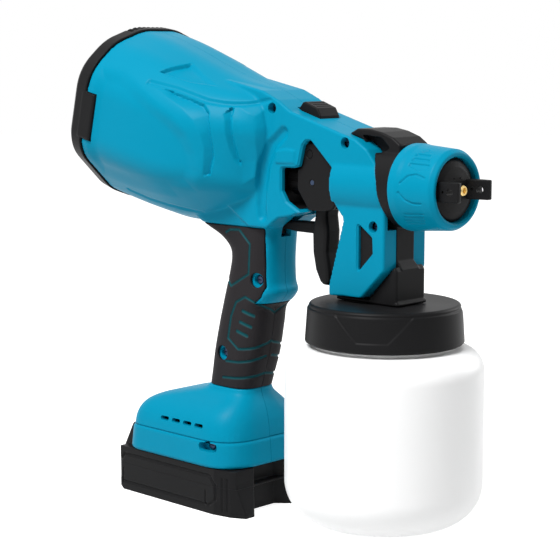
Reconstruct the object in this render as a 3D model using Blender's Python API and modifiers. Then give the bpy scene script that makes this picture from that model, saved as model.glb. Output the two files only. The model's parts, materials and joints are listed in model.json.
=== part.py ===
"""Cordless turbine spray gun: a two-part moulded housing on a slide-on battery, a trigger
and needle in a black spray body, and a screw-on paint jar.

Frame: +X is the spray direction, +Z is up, and the origin is the middle of the battery's foot.
Lengths are in metres. Outlines are written in millimetres and pass through mm().
"""
import math

import bmesh
import bpy
from mathutils import Matrix, Vector

MM = 0.001

# Clearances
GAP = 0.3 * MM            # between pieces that touch
SLIP = 0.4 * MM           # round a piece that slides or turns
HALF = GAP / 2            # each shell half stops this far from the middle plane

# Turbine housing: sections square to an axis that dips forward by TILT
TILT = math.radians(13.6)
REAR_X = -70.5 * MM       # middle of the housing's rear edge
REAR_Z = 260 * MM
BARREL_HALF_WIDTH = 57 * MM
BARREL_TOP = 60 * MM
BARREL_BOTTOM = 59.5 * MM
BARREL_LENGTH = 142 * MM
WALL = 3 * MM
CAP_LENGTH = 16.5 * MM
CAP_PROUD = 1.2 * MM
CAP_TAB = 9 * MM
CAP_LIP = 2.5 * MM        # from the shells' inner face to the lip's own inner face

# Neck, which carries the spray body between two side walls
NECK_HALF_WIDTH = 20 * MM
NECK_WALL = 3.5 * MM
NOZZLE_Z = 223.8 * MM

# Trigger
PIVOT_X = 100.5 * MM
PIVOT_Z = 241 * MM
PIN_X = 102.8 * MM        # cross pin that pulls the needle
PLATE_THICKNESS = 2.7 * MM
PIVOT_PIN_RADIUS = 2.5 * MM
CROSS_PIN_RADIUS = 1.6 * MM

# Spray body, nut and nozzle
BODY_BARREL_RADIUS = 12 * MM
NUT_REAR_X = 172.5 * MM
NUT_FRONT_X = 205.3 * MM
NUT_RADIUS = 26.4 * MM
NUT_MOUTH_RADIUS = 19.4 * MM
HORN_TIP_X = 218 * MM
HORN_HALF_HEIGHT = 5.9 * MM
NEEDLE_RADIUS = 1.3 * MM
NEEDLE_TRAVEL = 3.8 * MM
KNOB_STEM_X = 90.3 * MM   # front of the flow knob's stem, which stops the needle

# Handle and grip
GRIP_THICKNESS = 2.3 * MM
GRIP_BOTTOM_Z = 82 * MM
HANDLE_CORNER = 14 * MM

# Jar
JAR_X = 150 * MM
JAR_RADIUS = 62 * MM
JAR_FLOOR_Z = 13.8 * MM
JAR_SHOULDER_Z = 124.5 * MM
JAR_WALL = 1.8 * MM
NECK_RADIUS = 44.4 * MM
LID_RADIUS = 49.4 * MM
LID_LOW_Z = 126.9 * MM
LID_TOP_Z = 151.6 * MM
LID_WALL = 3 * MM
GASKET = 1.8 * MM

# Battery
BATTERY_LENGTH = 124.6 * MM
BATTERY_FRONT_X = 57.6 * MM
BATTERY_WIDTH = 75 * MM
BATTERY_HEIGHT = 31 * MM
BATTERY_SPLIT_Z = 19 * MM
BATTERY_WALL = 2.5 * MM
CELL_RADIUS = 9.15 * MM
CELL_LENGTH = 65 * MM
CELLS = 5
CELLS_X = -6 * MM         # middle of the row, clear of the case's recessed front
LATCH_FRONT_X = -57.2 * MM
RAIL_WIDTH = 50 * MM
RAIL_HEIGHT = 10 * MM

# Motor and fan
MOTOR_RADIUS = 22 * MM
MOTOR_LENGTH = 52 * MM
MOTOR_START = 46 * MM     # distance forward of the housing's rear edge
SHAFT_RADIUS = 3 * MM
FAN_RADIUS = 42 * MM
FAN_START = 14 * MM
FAN_DEPTH = 17 * MM
BLADES = 8

# Screws that hold the two shells together
SCREW_HEAD = 3.1 * MM
SCREW_SHANK = 1.5 * MM
BOSS_RADIUS = 4.6 * MM

ROUND = 24                # steps of a large turned shape
SMALL_ROUND = 12          # steps of a small one
TINY_ROUND = 8            # steps of a screw or a small bore

BLUE = (0.0, 0.29, 0.42, 1)
BLACK = (0.02, 0.02, 0.022, 1)
RUBBER = (0.025, 0.024, 0.027, 1)
WHITE = (0.88, 0.9, 0.9, 1)
STEEL = (0.55, 0.55, 0.56, 1)
BRASS = (0.72, 0.52, 0.22, 1)
COPPER = (0.5, 0.28, 0.16, 1)
GREEN = (0.02, 0.16, 0.06, 1)
FOAM = (0.06, 0.06, 0.065, 1)
CELL_BLUE = (0.05, 0.16, 0.4, 1)

FORWARD = Vector((math.cos(TILT), 0, -math.sin(TILT)))
UPWARD = Vector((math.sin(TILT), 0, math.cos(TILT)))
REAR = Vector((REAR_X, 0, REAR_Z))
NECK_INSIDE = NECK_HALF_WIDTH - NECK_WALL

SCREWS = {                # place on the side view, and the side wall's half width there
    "neck_rear": (72.2, 269, 20),
    "neck_front": (134.2, 249.5, 20),
    "frame": (157.2, 200, 20),
    "handle_upper": (54.5, 157, 17.2),
    "handle_lower": (22.5, 105, 17),
    "base": (30, 46, 37.8),
}


# ---------------------------------------------------------------- helpers

def mm(points):
    """Points in millimetres to points in metres."""
    return [tuple(c * MM for c in p) for p in points]


def clear_scene():
    for obj in list(bpy.data.objects):
        bpy.data.objects.remove(obj, do_unlink=True)


def new_collection(name):
    made = bpy.data.collections.new(name)
    bpy.context.scene.collection.children.link(made)
    return made


clear_scene()
PARTS = new_collection("turbine_spray_gun")
CUTTERS = new_collection("cutters")


def material(name, colour, roughness, metallic=0.0):
    made = bpy.data.materials.new(name)
    made.use_nodes = True
    shader = made.node_tree.nodes["Principled BSDF"]
    shader.inputs["Base Color"].default_value = colour
    shader.inputs["Roughness"].default_value = roughness
    shader.inputs["Metallic"].default_value = metallic
    made.diffuse_color = colour
    return made


def add(name, mesh):
    """A helper object: it stays out of the model until keep_part() moves it there."""
    obj = bpy.data.objects.new(name, mesh)
    CUTTERS.objects.link(obj)
    obj.hide_render = True
    obj.display_type = "WIRE"
    return obj


def face_outward(bm):
    bmesh.ops.recalc_face_normals(bm, faces=bm.faces)
    if bm.calc_volume(signed=True) < 0:
        bmesh.ops.reverse_faces(bm, faces=bm.faces)


def from_bmesh(name, bm):
    face_outward(bm)
    mesh = bpy.data.meshes.new(name)
    bm.to_mesh(mesh)
    bm.free()
    return add(name, mesh)


def baked(obj, name=None):
    """A new helper object that holds what obj's modifiers make, in world space."""
    graph = bpy.context.evaluated_depsgraph_get()
    mesh = bpy.data.meshes.new_from_object(obj.evaluated_get(graph))
    mesh.transform(obj.matrix_world)
    return add(name or obj.name + "_baked", mesh)


def is_closed(bm):
    return all(len(edge.link_faces) == 2 for edge in bm.edges)


def drop_slivers(bm):
    bmesh.ops.dissolve_degenerate(bm, edges=bm.edges, dist=0.002 * MM)


def merge_flats(bm):
    bmesh.ops.dissolve_limit(bm, verts=bm.verts, edges=bm.edges, angle_limit=math.radians(0.05))


def drop_loose(bm):
    loose = [edge for edge in bm.edges if not edge.link_faces]
    bmesh.ops.delete(bm, geom=loose, context="EDGES")


def tidied(mesh):
    """Cleans up after Booleans. Each step is kept only where the skin stays closed."""
    bm = bmesh.new()
    bm.from_mesh(mesh)
    bmesh.ops.remove_doubles(bm, verts=bm.verts, dist=0.002 * MM)
    for step in (drop_slivers, merge_flats):
        drop_loose(bm)
        trial = bm.copy()
        step(trial)
        if is_closed(trial):
            bm.free()
            bm = trial
        else:
            trial.free()
    drop_loose(bm)
    bm.to_mesh(mesh)
    bm.free()


def keep_part(obj, name, look, origin=None, smooth_deg=35):
    """Makes a helper object a piece of the model, with its origin on its joint's axis."""
    made = baked(obj, name + "_kept")
    tidied(made.data)
    made.data.materials.clear()
    made.data.materials.append(look)
    made.data.shade_smooth()
    made.data.set_sharp_from_angle(angle=math.radians(smooth_deg))
    if origin is not None:
        made.data.transform(Matrix.Translation(-Vector(origin)))
        made.location = origin
    CUTTERS.objects.unlink(made)
    PARTS.objects.link(made)
    made.hide_render = False
    made.display_type = "TEXTURED"
    made.name = name
    made.data.name = name
    return made


def boolean(obj, other, operation):
    step = obj.modifiers.new(operation.lower(), "BOOLEAN")
    step.operation = operation
    step.solver = "EXACT"
    step.object = other
    return obj


def cut(obj, *cutters):
    for other in cutters:
        boolean(obj, other, "DIFFERENCE")
    return obj


def join(obj, *others):
    for other in others:
        boolean(obj, other, "UNION")
    return obj


def overlap(obj, other):
    return boolean(obj, other, "INTERSECT")


def bevel(obj, width, segments=2, angle_deg=40):
    step = obj.modifiers.new("bevel", "BEVEL")
    step.width = width
    step.segments = segments
    step.limit_method = "ANGLE"
    step.angle_limit = math.radians(angle_deg)
    step.use_clamp_overlap = True
    return obj


def block(name, low, high):
    """A box from its lowest to its highest corner."""
    bm = bmesh.new()
    bmesh.ops.create_cube(bm, size=1)
    size = [h - l for l, h in zip(low, high)]
    middle = [(h + l) / 2 for l, h in zip(low, high)]
    bmesh.ops.scale(bm, vec=size, verts=bm.verts)
    bmesh.ops.translate(bm, vec=middle, verts=bm.verts)
    return from_bmesh(name, bm)


def rod(name, start, end, radius, end_radius=None, steps=SMALL_ROUND):
    """A round bar or cone between two points."""
    start = Vector(start)
    end = Vector(end)
    bm = bmesh.new()
    bmesh.ops.create_cone(
        bm, cap_ends=True, segments=steps, radius1=radius,
        radius2=radius if end_radius is None else end_radius, depth=(end - start).length,
    )
    turn = (end - start).to_track_quat("Z", "Y").to_matrix().to_4x4()
    bm.transform(Matrix.Translation((start + end) / 2) @ turn)
    return from_bmesh(name, bm)


def plate(name, outline, low, high, across="Y"):
    """A flat outline as a filled curve, extruded from low to high along Y, Z or X.

    The outline is (X, Z) along Y, (X, Y) along Z and (Y, Z) along X.
    """
    curve = bpy.data.curves.new(name, "CURVE")
    curve.dimensions = "2D"
    curve.fill_mode = "BOTH"
    curve.extrude = (high - low) / 2
    spline = curve.splines.new("POLY")
    spline.points.add(len(outline) - 1)
    for point, (x, y) in zip(spline.points, outline):
        point.co = (x, y, 0, 1)
    spline.use_cyclic_u = True
    drawn = bpy.data.objects.new(name + "_curve", curve)
    CUTTERS.objects.link(drawn)
    middle = (low + high) / 2
    sideways = Matrix(((0, 0, 1, 0), (1, 0, 0, 0), (0, 1, 0, 0), (0, 0, 0, 1)))
    places = {
        "Y": Matrix.Translation((0, middle, 0)) @ Matrix.Rotation(math.pi / 2, 4, "X"),
        "Z": Matrix.Translation((0, 0, middle)),
        "X": Matrix.Translation((middle, 0, 0)) @ sideways,
    }
    drawn.matrix_world = places[across]
    graph = bpy.context.evaluated_depsgraph_get()
    mesh = bpy.data.meshes.new_from_object(drawn.evaluated_get(graph))
    mesh.transform(places[across])
    bpy.data.objects.remove(drawn, do_unlink=True)
    bm = bmesh.new()
    bm.from_mesh(mesh)
    bmesh.ops.remove_doubles(bm, verts=bm.verts, dist=0.001 * MM)
    bmesh.ops.dissolve_limit(bm, verts=bm.verts, edges=bm.edges, angle_limit=math.radians(0.5))
    return from_bmesh(name, bm)


def turned(name, profile, base=(0, 0, 0), along=(0, 0, 1), steps=ROUND):
    """A lathe shape: (radius, height) points down its outer side, turned about an axis."""
    bm = bmesh.new()
    corners = [bm.verts.new((radius, 0, height)) for radius, height in profile]
    for a, b in zip(corners, corners[1:]):
        bm.edges.new((a, b))
    mesh = bpy.data.meshes.new(name)
    bm.to_mesh(mesh)
    bm.free()
    obj = add(name, mesh)
    screw = obj.modifiers.new("screw", "SCREW")
    screw.axis = "Z"
    screw.steps = steps
    screw.render_steps = steps
    screw.use_merge_vertices = True
    screw.merge_threshold = 0.005 * MM
    turn = Vector(along).to_track_quat("Z", "Y").to_matrix().to_4x4()
    obj.matrix_world = Matrix.Translation(base) @ turn
    bpy.context.view_layer.update()
    made = baked(obj, name)
    bpy.data.objects.remove(obj, do_unlink=True)
    bm = bmesh.new()
    bm.from_mesh(made.data)
    face_outward(bm)
    bm.to_mesh(made.data)
    bm.free()
    return made


def rounded(corners, radii, steps):
    """A closed outline whose corners are arcs. A radius shrinks where its sides are short."""
    points = []
    count = len(corners)
    for i, corner in enumerate(corners):
        here = Vector(corner)
        back = Vector(corners[i - 1]) - here
        ahead = Vector(corners[(i + 1) % count]) - here
        turn = math.pi - back.angle(ahead)
        reach = min(radii[i] * math.tan(turn / 2), 0.48 * back.length, 0.48 * ahead.length)
        start = here + back.normalized() * reach
        end = here + ahead.normalized() * reach
        for k in range(steps + 1):
            t = k / steps
            arc = start * (1 - t) ** 2 + here * 2 * t * (1 - t) + end * t ** 2
            points.append(tuple(arc))
    return points


def loft(name, rings):
    """A closed skin through rings that have the same number of points."""
    bm = bmesh.new()
    rows = [[bm.verts.new(p) for p in ring] for ring in rings]
    count = len(rows[0])
    for a, b in zip(rows, rows[1:]):
        for i in range(count):
            j = (i + 1) % count
            bm.faces.new((a[i], a[j], b[j], b[i]))
    bm.faces.new(rows[0])
    bm.faces.new(rows[-1])
    bmesh.ops.triangulate(bm, faces=[face for face in bm.faces if len(face.verts) == 4])
    return from_bmesh(name, bm)


def between(stations, at):
    """A row of sizes, straight between the stations on each side. Each starts with its place."""
    if at <= stations[0][0]:
        return stations[0][1:]
    for a, b in zip(stations, stations[1:]):
        if at <= b[0]:
            t = (at - a[0]) / (b[0] - a[0])
            return tuple(p + (q - p) * t for p, q in zip(a[1:], b[1:]))
    return stations[-1][1:]


# ---------------------------------------------------------------- looks

LOOKS = {
    "blue_plastic": material("blue_plastic", BLUE, 0.42),
    "black_plastic": material("black_plastic", BLACK, 0.5),
    "rubber": material("rubber", RUBBER, 0.75),
    "jar_plastic": material("jar_plastic", WHITE, 0.4),
    "steel": material("steel", STEEL, 0.3, 1),
    "brass": material("brass", BRASS, 0.3, 1),
    "copper": material("copper", COPPER, 0.4, 1),
    "board": material("board", GREEN, 0.5),
    "foam": material("foam", FOAM, 0.95),
    "cell_wrap": material("cell_wrap", CELL_BLUE, 0.4),
}


# ---------------------------------------------------------------- turbine housing

# Share of the length, then share of the half width, the top and the bottom
BARREL_STATIONS = [
    (0, 1, 1, 1),
    (0.16, 0.998, 0.993, 0.993),
    (0.32, 0.985, 0.968, 0.975),
    (0.48, 0.95, 0.933, 0.935),
    (0.6, 0.895, 0.912, 0.845),
    (0.7, 0.82, 0.902, 0.73),
    (0.79, 0.715, 0.895, 0.625),
    (0.87, 0.585, 0.885, 0.555),
    (0.94, 0.425, 0.835, 0.51),
    (1, 0.26, 0.72, 0.46),
]
# One side of the section from top to bottom: share of half width, of top (+) or bottom (-), radius
BARREL_CORNERS = [
    (0.49, 1.0, 24),
    (1.0, 0.56, 24),
    (1.0, -0.235, 22),
    (0.35, -0.845, 26),
    (0.0, -1.0, 22),
]


def on_axis(forward, side=0, up=0):
    """A point by its distance along the housing's axis, to the side and up from it."""
    return REAR + FORWARD * forward + Vector((0, side, 0)) + UPWARD * up


def barrel_section(forward, inset):
    wide, top, bottom = between(BARREL_STATIONS, forward / BARREL_LENGTH)
    half = BARREL_HALF_WIDTH * wide - inset
    high = BARREL_TOP * top - inset
    low = BARREL_BOTTOM * bottom - inset
    side = [(half * y, high * v if v > 0 else low * v, r) for y, v, r in BARREL_CORNERS]
    mirrored = [(-y, v, r) for y, v, r in side[-2::-1]]
    corners = side + mirrored
    shrink = half / BARREL_HALF_WIDTH
    outline = rounded([c[:2] for c in corners], [c[2] * MM * max(shrink, 0.5) for c in corners], 2)
    return [on_axis(forward, y, v) for y, v in outline]


def barrel_solid(name, start, end, inset=0.0, extra=()):
    places = [start]
    places += [s[0] * BARREL_LENGTH for s in BARREL_STATIONS if start < s[0] * BARREL_LENGTH < end]
    places += [p for p in extra if start < p < end] + [end]
    return loft(name, [barrel_section(p, inset) for p in sorted(places)])


# ---------------------------------------------------------------- handle and base sections

# Height, rear X, front X and half width of the handle, over the rubber
HANDLE_STATIONS = mm([
    (74, 2.0, 40.0, 16.6),
    (90, 5.6, 45.0, 17.0),
    (106, 8.8, 50.0, 17.4),
    (127, 14.1, 54.0, 17.6),
    (138, 17.2, 56.2, 17.6),
    (143, 18.6, 62.0, 17.6),
    (149, 20.4, 66.5, 17.6),
    (154, 21.8, 65.0, 17.5),
    (160, 23.4, 64.4, 17.4),
    (170, 25.4, 64.2, 17.4),
    (177, 23.6, 64.6, 17.4),
    (184, 15.0, 65.2, 17.4),
    (190, 1.0, 66.0, 17.4),
    (196, -10.0, 69.0, 18.0),
    (206, -14.0, 74.0, 18.5),
])
# Height, rear X, front X, half width and front corner radius of the blue base
BASE_STATIONS = mm([
    (31.3, -52.0, 50.6, 38.3, 26),
    (33.0, -53.0, 51.6, 39.3, 27),
    (48.0, -50.8, 50.8, 39.3, 27),
    (49.5, -50.0, 50.0, 38.6, 26),
    (55.0, -47.5, 49.4, 36.4, 26),
    (61.0, -42.5, 48.2, 32.0, 24),
    (66.0, -34.0, 46.6, 27.4, 21),
    (70.5, -21.0, 44.8, 22.8, 18),
    (74.5, -6.0, 43.2, 19.4, 15),
    (78.0, 1.5, 42.2, 17.6, 14),
    (81.7, 3.3, 42.2, 17.1, 14),
])


def plan_section(height, rear, front, half, rear_radius, front_radius, steps=3):
    corners = [(rear, -half), (front, -half), (front, half), (rear, half)]
    outline = rounded(corners, [rear_radius, front_radius, front_radius, rear_radius], steps)
    return [(x, y, height) for x, y in outline]


def handle_solid(name, low, high, inset=0.0):
    heights = [low] + [s[0] for s in HANDLE_STATIONS if low < s[0] < high] + [high]
    rings = []
    for z in heights:
        rear, front, half = between(HANDLE_STATIONS, z)
        corner = HANDLE_CORNER - inset
        rings.append(plan_section(z, rear + inset, front - inset, half - inset, corner, corner))
    return loft(name, rings)


def base_solid(name, inset=0.0, top_inset=0.0):
    rings = []
    for z, rear, front, half, radius in BASE_STATIONS:
        rings.append(plan_section(
            z - top_inset, rear + inset, front - inset, half - inset, 14 * MM - inset,
            radius - inset,
        ))
    return loft(name, rings)


# Side outline of the blue upper part of the handle: all of it above the grip, and the front strip
def blue_zone(name, gap):
    outline = mm([
        (-40, 191.3), (60.8, 191.3), (60.2, 175), (60.6, 158), (61, 152), (58, 146), (52.5, 141.4),
        (90, 141.4), (90, 230), (-40, 230),
    ])
    if gap:
        outline = offset_outline(outline, gap)
    return plate(name, outline, -60 * MM, 60 * MM)


# ---------------------------------------------------------------- shells

NECK_OUTLINE = mm([
    (18, 250), (30, 286.5), (63.3, 279.8), (76.6, 274.2), (87.9, 267.4), (113.5, 260.0), (142.3, 251.8),
    (151.2, 246.2), (158.4, 237.6), (162.5, 227.5), (163.6, 219), (165.6, 208), (165.6, 173.5),
    (148.1, 155.8), (120.8, 154.8), (120.8, 160.4), (133.6, 163), (137.9, 178), (137.9, 203),
    (133.5, 205), (98, 205), (88, 201.5), (77, 199.5), (66, 192), (50, 192), (30, 205),
])
# The shells' front edge, drawn on past the neck above and below
FRONT_LIMIT = mm([
    (60, 300), (142.3, 300), (142.3, 251.8), (151.2, 246.2), (158.4, 237.6), (162.5, 227.5),
    (163.6, 219), (165.6, 208), (165.6, 150), (60, 150),
])
NECK_CAVITY = mm([
    (71, 207), (71, 236), (77, 248), (84, 251), (106, 251), (112, 255.4), (140, 247.5), (148, 242.5),
    (155, 236), (180, 236), (180, 198), (141.5, 198), (141.5, 205), (134, 208),
    (134, 190), (99, 190), (96, 206), (84, 204.8),
])
WINDOW_OUTLINE = mm([
    (105, 249.8), (101.5, 249.6), (98.3, 246.4), (94.9, 233.5), (91, 232.1), (79.9, 232), (79.9, 217),
    (84.2, 210.5), (94.1, 205.5), (98, 203), (99, 198), (131, 198), (132.1, 203.6), (126, 210.6),
    (122.9, 220.2), (124.5, 231.9),
])
FRAME_WINDOW = mm([(144.8, 200.9), (155.7, 193.2), (156.2, 183.5), (144.7, 171.5)])
FRAME_INSIDE = 8.3 * MM
SWELL_RADIUS = 23.6 * MM  # the neck's round front, about the nozzle's axis
SWELL_START = 124 * MM
BUTTON_REAR_X = 84.5 * MM
BUTTON_FRONT_X = 103.5 * MM
BUTTON_HALF = 9 * MM
BUTTON_FLOOR_Z = 254 * MM
ARM_HALF = 3 * MM
SWITCH_REAR_X = 24 * MM
SWITCH_FRONT_X = 45 * MM
SWITCH_LOW_Z = 189 * MM
SWITCH_HIGH_Z = 205 * MM
BASE_FLOOR_Z = 46.5 * MM
RAIL_FRONT_X = 20 * MM
RAIL_NECK = 5 * MM        # the rails' narrow lower part
RAIL_STEP = 3.5 * MM      # how far the rails' heads reach past it


def screw_places():
    for name, (x, z, half) in SCREWS.items():
        yield name, x * MM, z * MM, half * MM


def vents():
    """Four cooling slots through each side of the base."""
    made = []
    for side in (-1, 1):
        for i in range(4):
            x = (-17.5 + 11.2 * i) * MM
            near = side * 24 * MM
            far = side * 50 * MM
            low = (x, min(near, far), 56.4 * MM)
            high = (x + 8 * MM, max(near, far), 59.2 * MM)
            made.append(block(f"vent_{side}_{i}", low, high))
    return made


def housing_outside():
    """The outer form of both shells as one solid."""
    form = barrel_solid("housing", 0, BARREL_LENGTH)
    neck = bevel(plate("neck", NECK_OUTLINE, -NECK_HALF_WIDTH, NECK_HALF_WIDTH), 2.2 * MM, 2, 50)
    swell = rod("swell", (SWELL_START, 0, NOZZLE_Z), (170 * MM, 0, NOZZLE_Z), SWELL_RADIUS, steps=ROUND)
    overlap(swell, plate("front_limit", FRONT_LIMIT, -60 * MM, 60 * MM))
    core = handle_solid("handle_core", 79 * MM, 206 * MM, GRIP_THICKNESS)
    strip = overlap(handle_solid("handle_blue", 79 * MM, 206 * MM), blue_zone("blue_zone", 0))
    join(form, baked(neck), baked(swell), core, baked(strip), base_solid("base"))
    return baked(form, "housing_outside")


def rail_blocks(slack):
    """The battery's rails, or with slack the channel that they slide in: a narrow part and a head."""
    step = BATTERY_HEIGHT + RAIL_NECK - slack
    rear = battery_rear() + 12 * MM - (20 * MM if slack else 0)
    front = RAIL_FRONT_X + slack
    narrow = RAIL_WIDTH / 2 - RAIL_STEP + slack
    wide = RAIL_WIDTH / 2 + slack
    top = BATTERY_HEIGHT + RAIL_HEIGHT + slack
    neck = block("rail_neck", (rear, -narrow, BATTERY_HEIGHT - MM), (front - 0.1 * MM, narrow, step + MM))
    return neck, block("rail_head", (rear - 0.1 * MM, -wide, step), (front, wide, top))


def rooms():
    """The shells' large rooms as one solid, left full where a screw's boss stands."""
    made = barrel_solid("motor_room", -5 * MM, 0.86 * BARREL_LENGTH, WALL)
    join(made, plate("neck_room", NECK_CAVITY, -NECK_INSIDE, NECK_INSIDE))
    join(made, block("duct", (30 * MM, -12 * MM, 210.6 * MM), (75 * MM, 12 * MM, 240 * MM)))
    join(made, handle_solid("wire_room", 69.5 * MM, 186 * MM, GRIP_THICKNESS + 3.2 * MM), base_room())
    for name, x, z, half in screw_places():
        cut(made, cross_bore("boss_" + name, x, z, -half - MM, half + MM, BOSS_RADIUS))
    return baked(made, "rooms")


def hollow(form):
    """Room for the motor, the spray body, the trigger, the wiring, the board and the battery's rails."""
    cut(form, rooms())
    cut(form, block("frame_room", (110 * MM, -FRAME_INSIDE, 150 * MM), (180 * MM, FRAME_INSIDE, 211.7 * MM)))
    cut(form, block("lever_slot", (83 * MM, -8 * MM, 190 * MM), (100.4 * MM, 8 * MM, 212.4 * MM)))
    arm_slot = block("arm_slot", (44 * MM, -4.5 * MM, 185.3 * MM), (100 * MM, 4.5 * MM, 213.1 * MM))
    switch_room = block(
        "switch_room", (SWITCH_REAR_X - GAP, -7 * MM - GAP, SWITCH_LOW_Z - GAP),
        (SWITCH_FRONT_X + GAP, 7 * MM + GAP, SWITCH_HIGH_Z + 6 * MM),
    )
    cut(form, arm_slot, switch_room)
    cut(form, block("upper_wires", (27 * MM, -5 * MM, 184 * MM), (43 * MM, 5 * MM, 215 * MM)))
    cut(form, *rail_blocks(SLIP), terminal_room(GAP))
    cut(form, plate("window", WINDOW_OUTLINE, -60 * MM, 60 * MM))
    cut(form, plate("frame_window", FRAME_WINDOW, -60 * MM, 60 * MM))
    cut(form, button_pocket())
    cut(form, *vents())
    cut(form, *cap_notches())
    return form


def base_room():
    rings = []
    for z, rear, front, half, radius in BASE_STATIONS[3:-2]:
        rings.append(plan_section(
            z - WALL, rear + WALL, front - WALL, half - WALL, 11 * MM, radius - WALL,
        ))
    return loft("base_room", rings)


def button_pocket():
    low = (BUTTON_REAR_X - SLIP, -BUTTON_HALF - SLIP, BUTTON_FLOOR_Z)
    return block("button_pocket", low, (BUTTON_FRONT_X + SLIP, BUTTON_HALF + SLIP, 290 * MM))


def cap_notches():
    """Where the rear cap's two side tabs reach into the shells."""
    made = []
    for side in (-1, 1):
        low = (-1 * MM, min(side * 49 * MM, side * 70 * MM), -14.4 * MM)
        high = (CAP_TAB + GAP, max(side * 49 * MM, side * 70 * MM), 18.4 * MM)
        tab = block(f"tab_notch_{side}", low, high)
        tab.data.transform(axis_matrix())
        made.append(tab)
    return made


def axis_matrix():
    """Takes (forward, side, up) along the housing's axis to the object's frame."""
    place = Matrix((FORWARD, (0, 1, 0), UPWARD)).transposed().to_4x4()
    place.translation = REAR
    return place


def shells():
    whole = baked(hollow(housing_outside()), "housing_whole")
    for side, name in ((-1, "shell_right"), (1, "shell_left")):
        low = -100 * MM if side < 0 else HALF
        high = -HALF if side < 0 else 100 * MM
        half_space = block("side_" + name, (-200 * MM, low, -20 * MM), (300 * MM, high, 400 * MM))
        half_shell = overlap(baked(whole, name + "_form"), half_space)
        for screw, x, z, half in screw_places():
            outside = -half - 5 * MM
            if side < 0:
                cut(half_shell, cross_bore("hole", x, z, outside, 5 * MM, SCREW_SHANK + SLIP))
                cut(half_shell, cross_bore("sink", x, z, outside, head_seat(half), SCREW_HEAD + SLIP))
            else:
                cut(half_shell, cross_bore("pilot", x, z, -5 * MM, pilot_end(screw), SCREW_SHANK + GAP))
        keep_part(half_shell, name, LOOKS["blue_plastic"])


def cross_bore(name, x, z, start, end, radius, steps=TINY_ROUND):
    """A bar across the object, at (x, z) and from start to end in Y."""
    return rod(name, (x, start, z), (x, end, z), radius, steps=steps)


def head_seat(half):
    """Where a screw's head rests, on the right-hand side."""
    return -half + 6.5 * MM


def pilot_end(screw):
    return 16 * MM if screw == "frame" else 9.5 * MM


def screws():
    for name, x, z, half in screw_places():
        seat = head_seat(half) - GAP
        tip = pilot_end(name) - 1 * MM
        head = 2.2 * MM
        profile = [
            (0, head), (SCREW_HEAD * 0.8, head), (SCREW_HEAD, head * 0.55), (SCREW_HEAD, 0), (SCREW_SHANK, 0),
            (SCREW_SHANK, seat - tip + 1.5 * MM), (0, seat - tip),
        ]
        body = turned("screw", profile, (x, seat, z), (0, -1, 0), TINY_ROUND)
        reach = 1.8 * MM
        thick = 0.35 * MM
        top = seat - head
        slot = block("slot", (x - reach, top - MM, z - thick), (x + reach, top + MM, z + thick))
        keep_part(cut(body, slot), "screw_" + name, LOOKS["steel"])


# ---------------------------------------------------------------- rubber grip

def grips():
    outer = handle_solid("grip_outer", GRIP_BOTTOM_Z, 198 * MM)
    inner = handle_solid("grip_inner", GRIP_BOTTOM_Z - MM, 199 * MM, GRIP_THICKNESS - GAP)
    cut(outer, inner, blue_zone("grip_limit", GAP), barrel_solid("grip_barrel", 0, BARREL_LENGTH, -GAP))
    for name in ("handle_upper", "handle_lower"):
        x, z, half = (c * MM for c in SCREWS[name])
        cut(outer, rod("grip_hole", (x, -30 * MM, z), (x, 30 * MM, z), BOSS_RADIUS + GAP))
    whole = baked(outer, "grip_whole")
    for name, low, high in (("grip_right", -60 * MM, -HALF), ("grip_left", HALF, 60 * MM)):
        half_space = block("side_" + name, (-100 * MM, low, 60 * MM), (120 * MM, high, 220 * MM))
        keep_part(overlap(baked(whole, name + "_form"), half_space), name, LOOKS["rubber"])


# ---------------------------------------------------------------- rear cap, filter, fan and motor

def rear_cap():
    """A cup with a grille in its floor, a lip inside the shells and a tab on each side."""
    ring = loft("cap", [
        barrel_section_at(-CAP_LENGTH, 5.5 * MM), barrel_section_at(-CAP_LENGTH + 2.2 * MM, 2.2 * MM),
        barrel_section_at(-CAP_LENGTH + 6 * MM, -0.4 * MM), barrel_section_at(-GAP, -CAP_PROUD),
    ])
    lip_inside = WALL + CAP_LIP
    cut(ring, cap_stretch("cap_room", -CAP_LENGTH + 3 * MM, 2 * MM, 5 * MM))
    lip = cap_stretch("cap_lip", -5 * MM, 6 * MM, WALL + GAP)
    cut(lip, cap_stretch("lip_room", -9 * MM, 7 * MM, lip_inside))
    join(ring, baked(lip))
    for side in (-1, 1):
        ends = (side * 50 * MM, side * (BARREL_HALF_WIDTH + CAP_PROUD))
        tab = block("tab", (-4 * MM, min(ends), -14 * MM), (CAP_TAB, max(ends), 18 * MM))
        tab.data.transform(axis_matrix())
        join(ring, tab)
    cut(ring, cap_stretch("lip_clear", -3 * MM, 12 * MM, lip_inside))
    cut(ring, *grille_slots())
    keep_part(ring, "rear_cap", LOOKS["black_plastic"])


def barrel_section_at(forward, inset):
    """The housing's section carried on behind its rear edge, for the cap."""
    shift = FORWARD * min(forward, 0)
    return [p + shift for p in barrel_section(max(forward, 0), inset)]


def cap_stretch(name, start, end, inset):
    """A straight stretch between two such sections."""
    return loft(name, [barrel_section_at(start, inset), barrel_section_at(end, inset)])


def grille_slots():
    """Air slots in rows across the cap's end, each row as long as the end's outline allows."""
    made = []
    pitch = 9 * MM
    thick = 2.4 * MM
    for row in range(-5, 6):
        up = row * pitch
        reach = half_width_at(up + (thick if up > 0 else -thick)) - 14 * MM
        if reach < 6 * MM:
            continue
        for side in (-1, 1):
            ends = (side * 2 * MM, side * reach)
            low = (-CAP_LENGTH - 2 * MM, min(ends), up - thick)
            slot = block("slot", low, (-CAP_LENGTH + 5 * MM, max(ends), up + thick))
            slot.data.transform(axis_matrix())
            made.append(slot)
    return made


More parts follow.
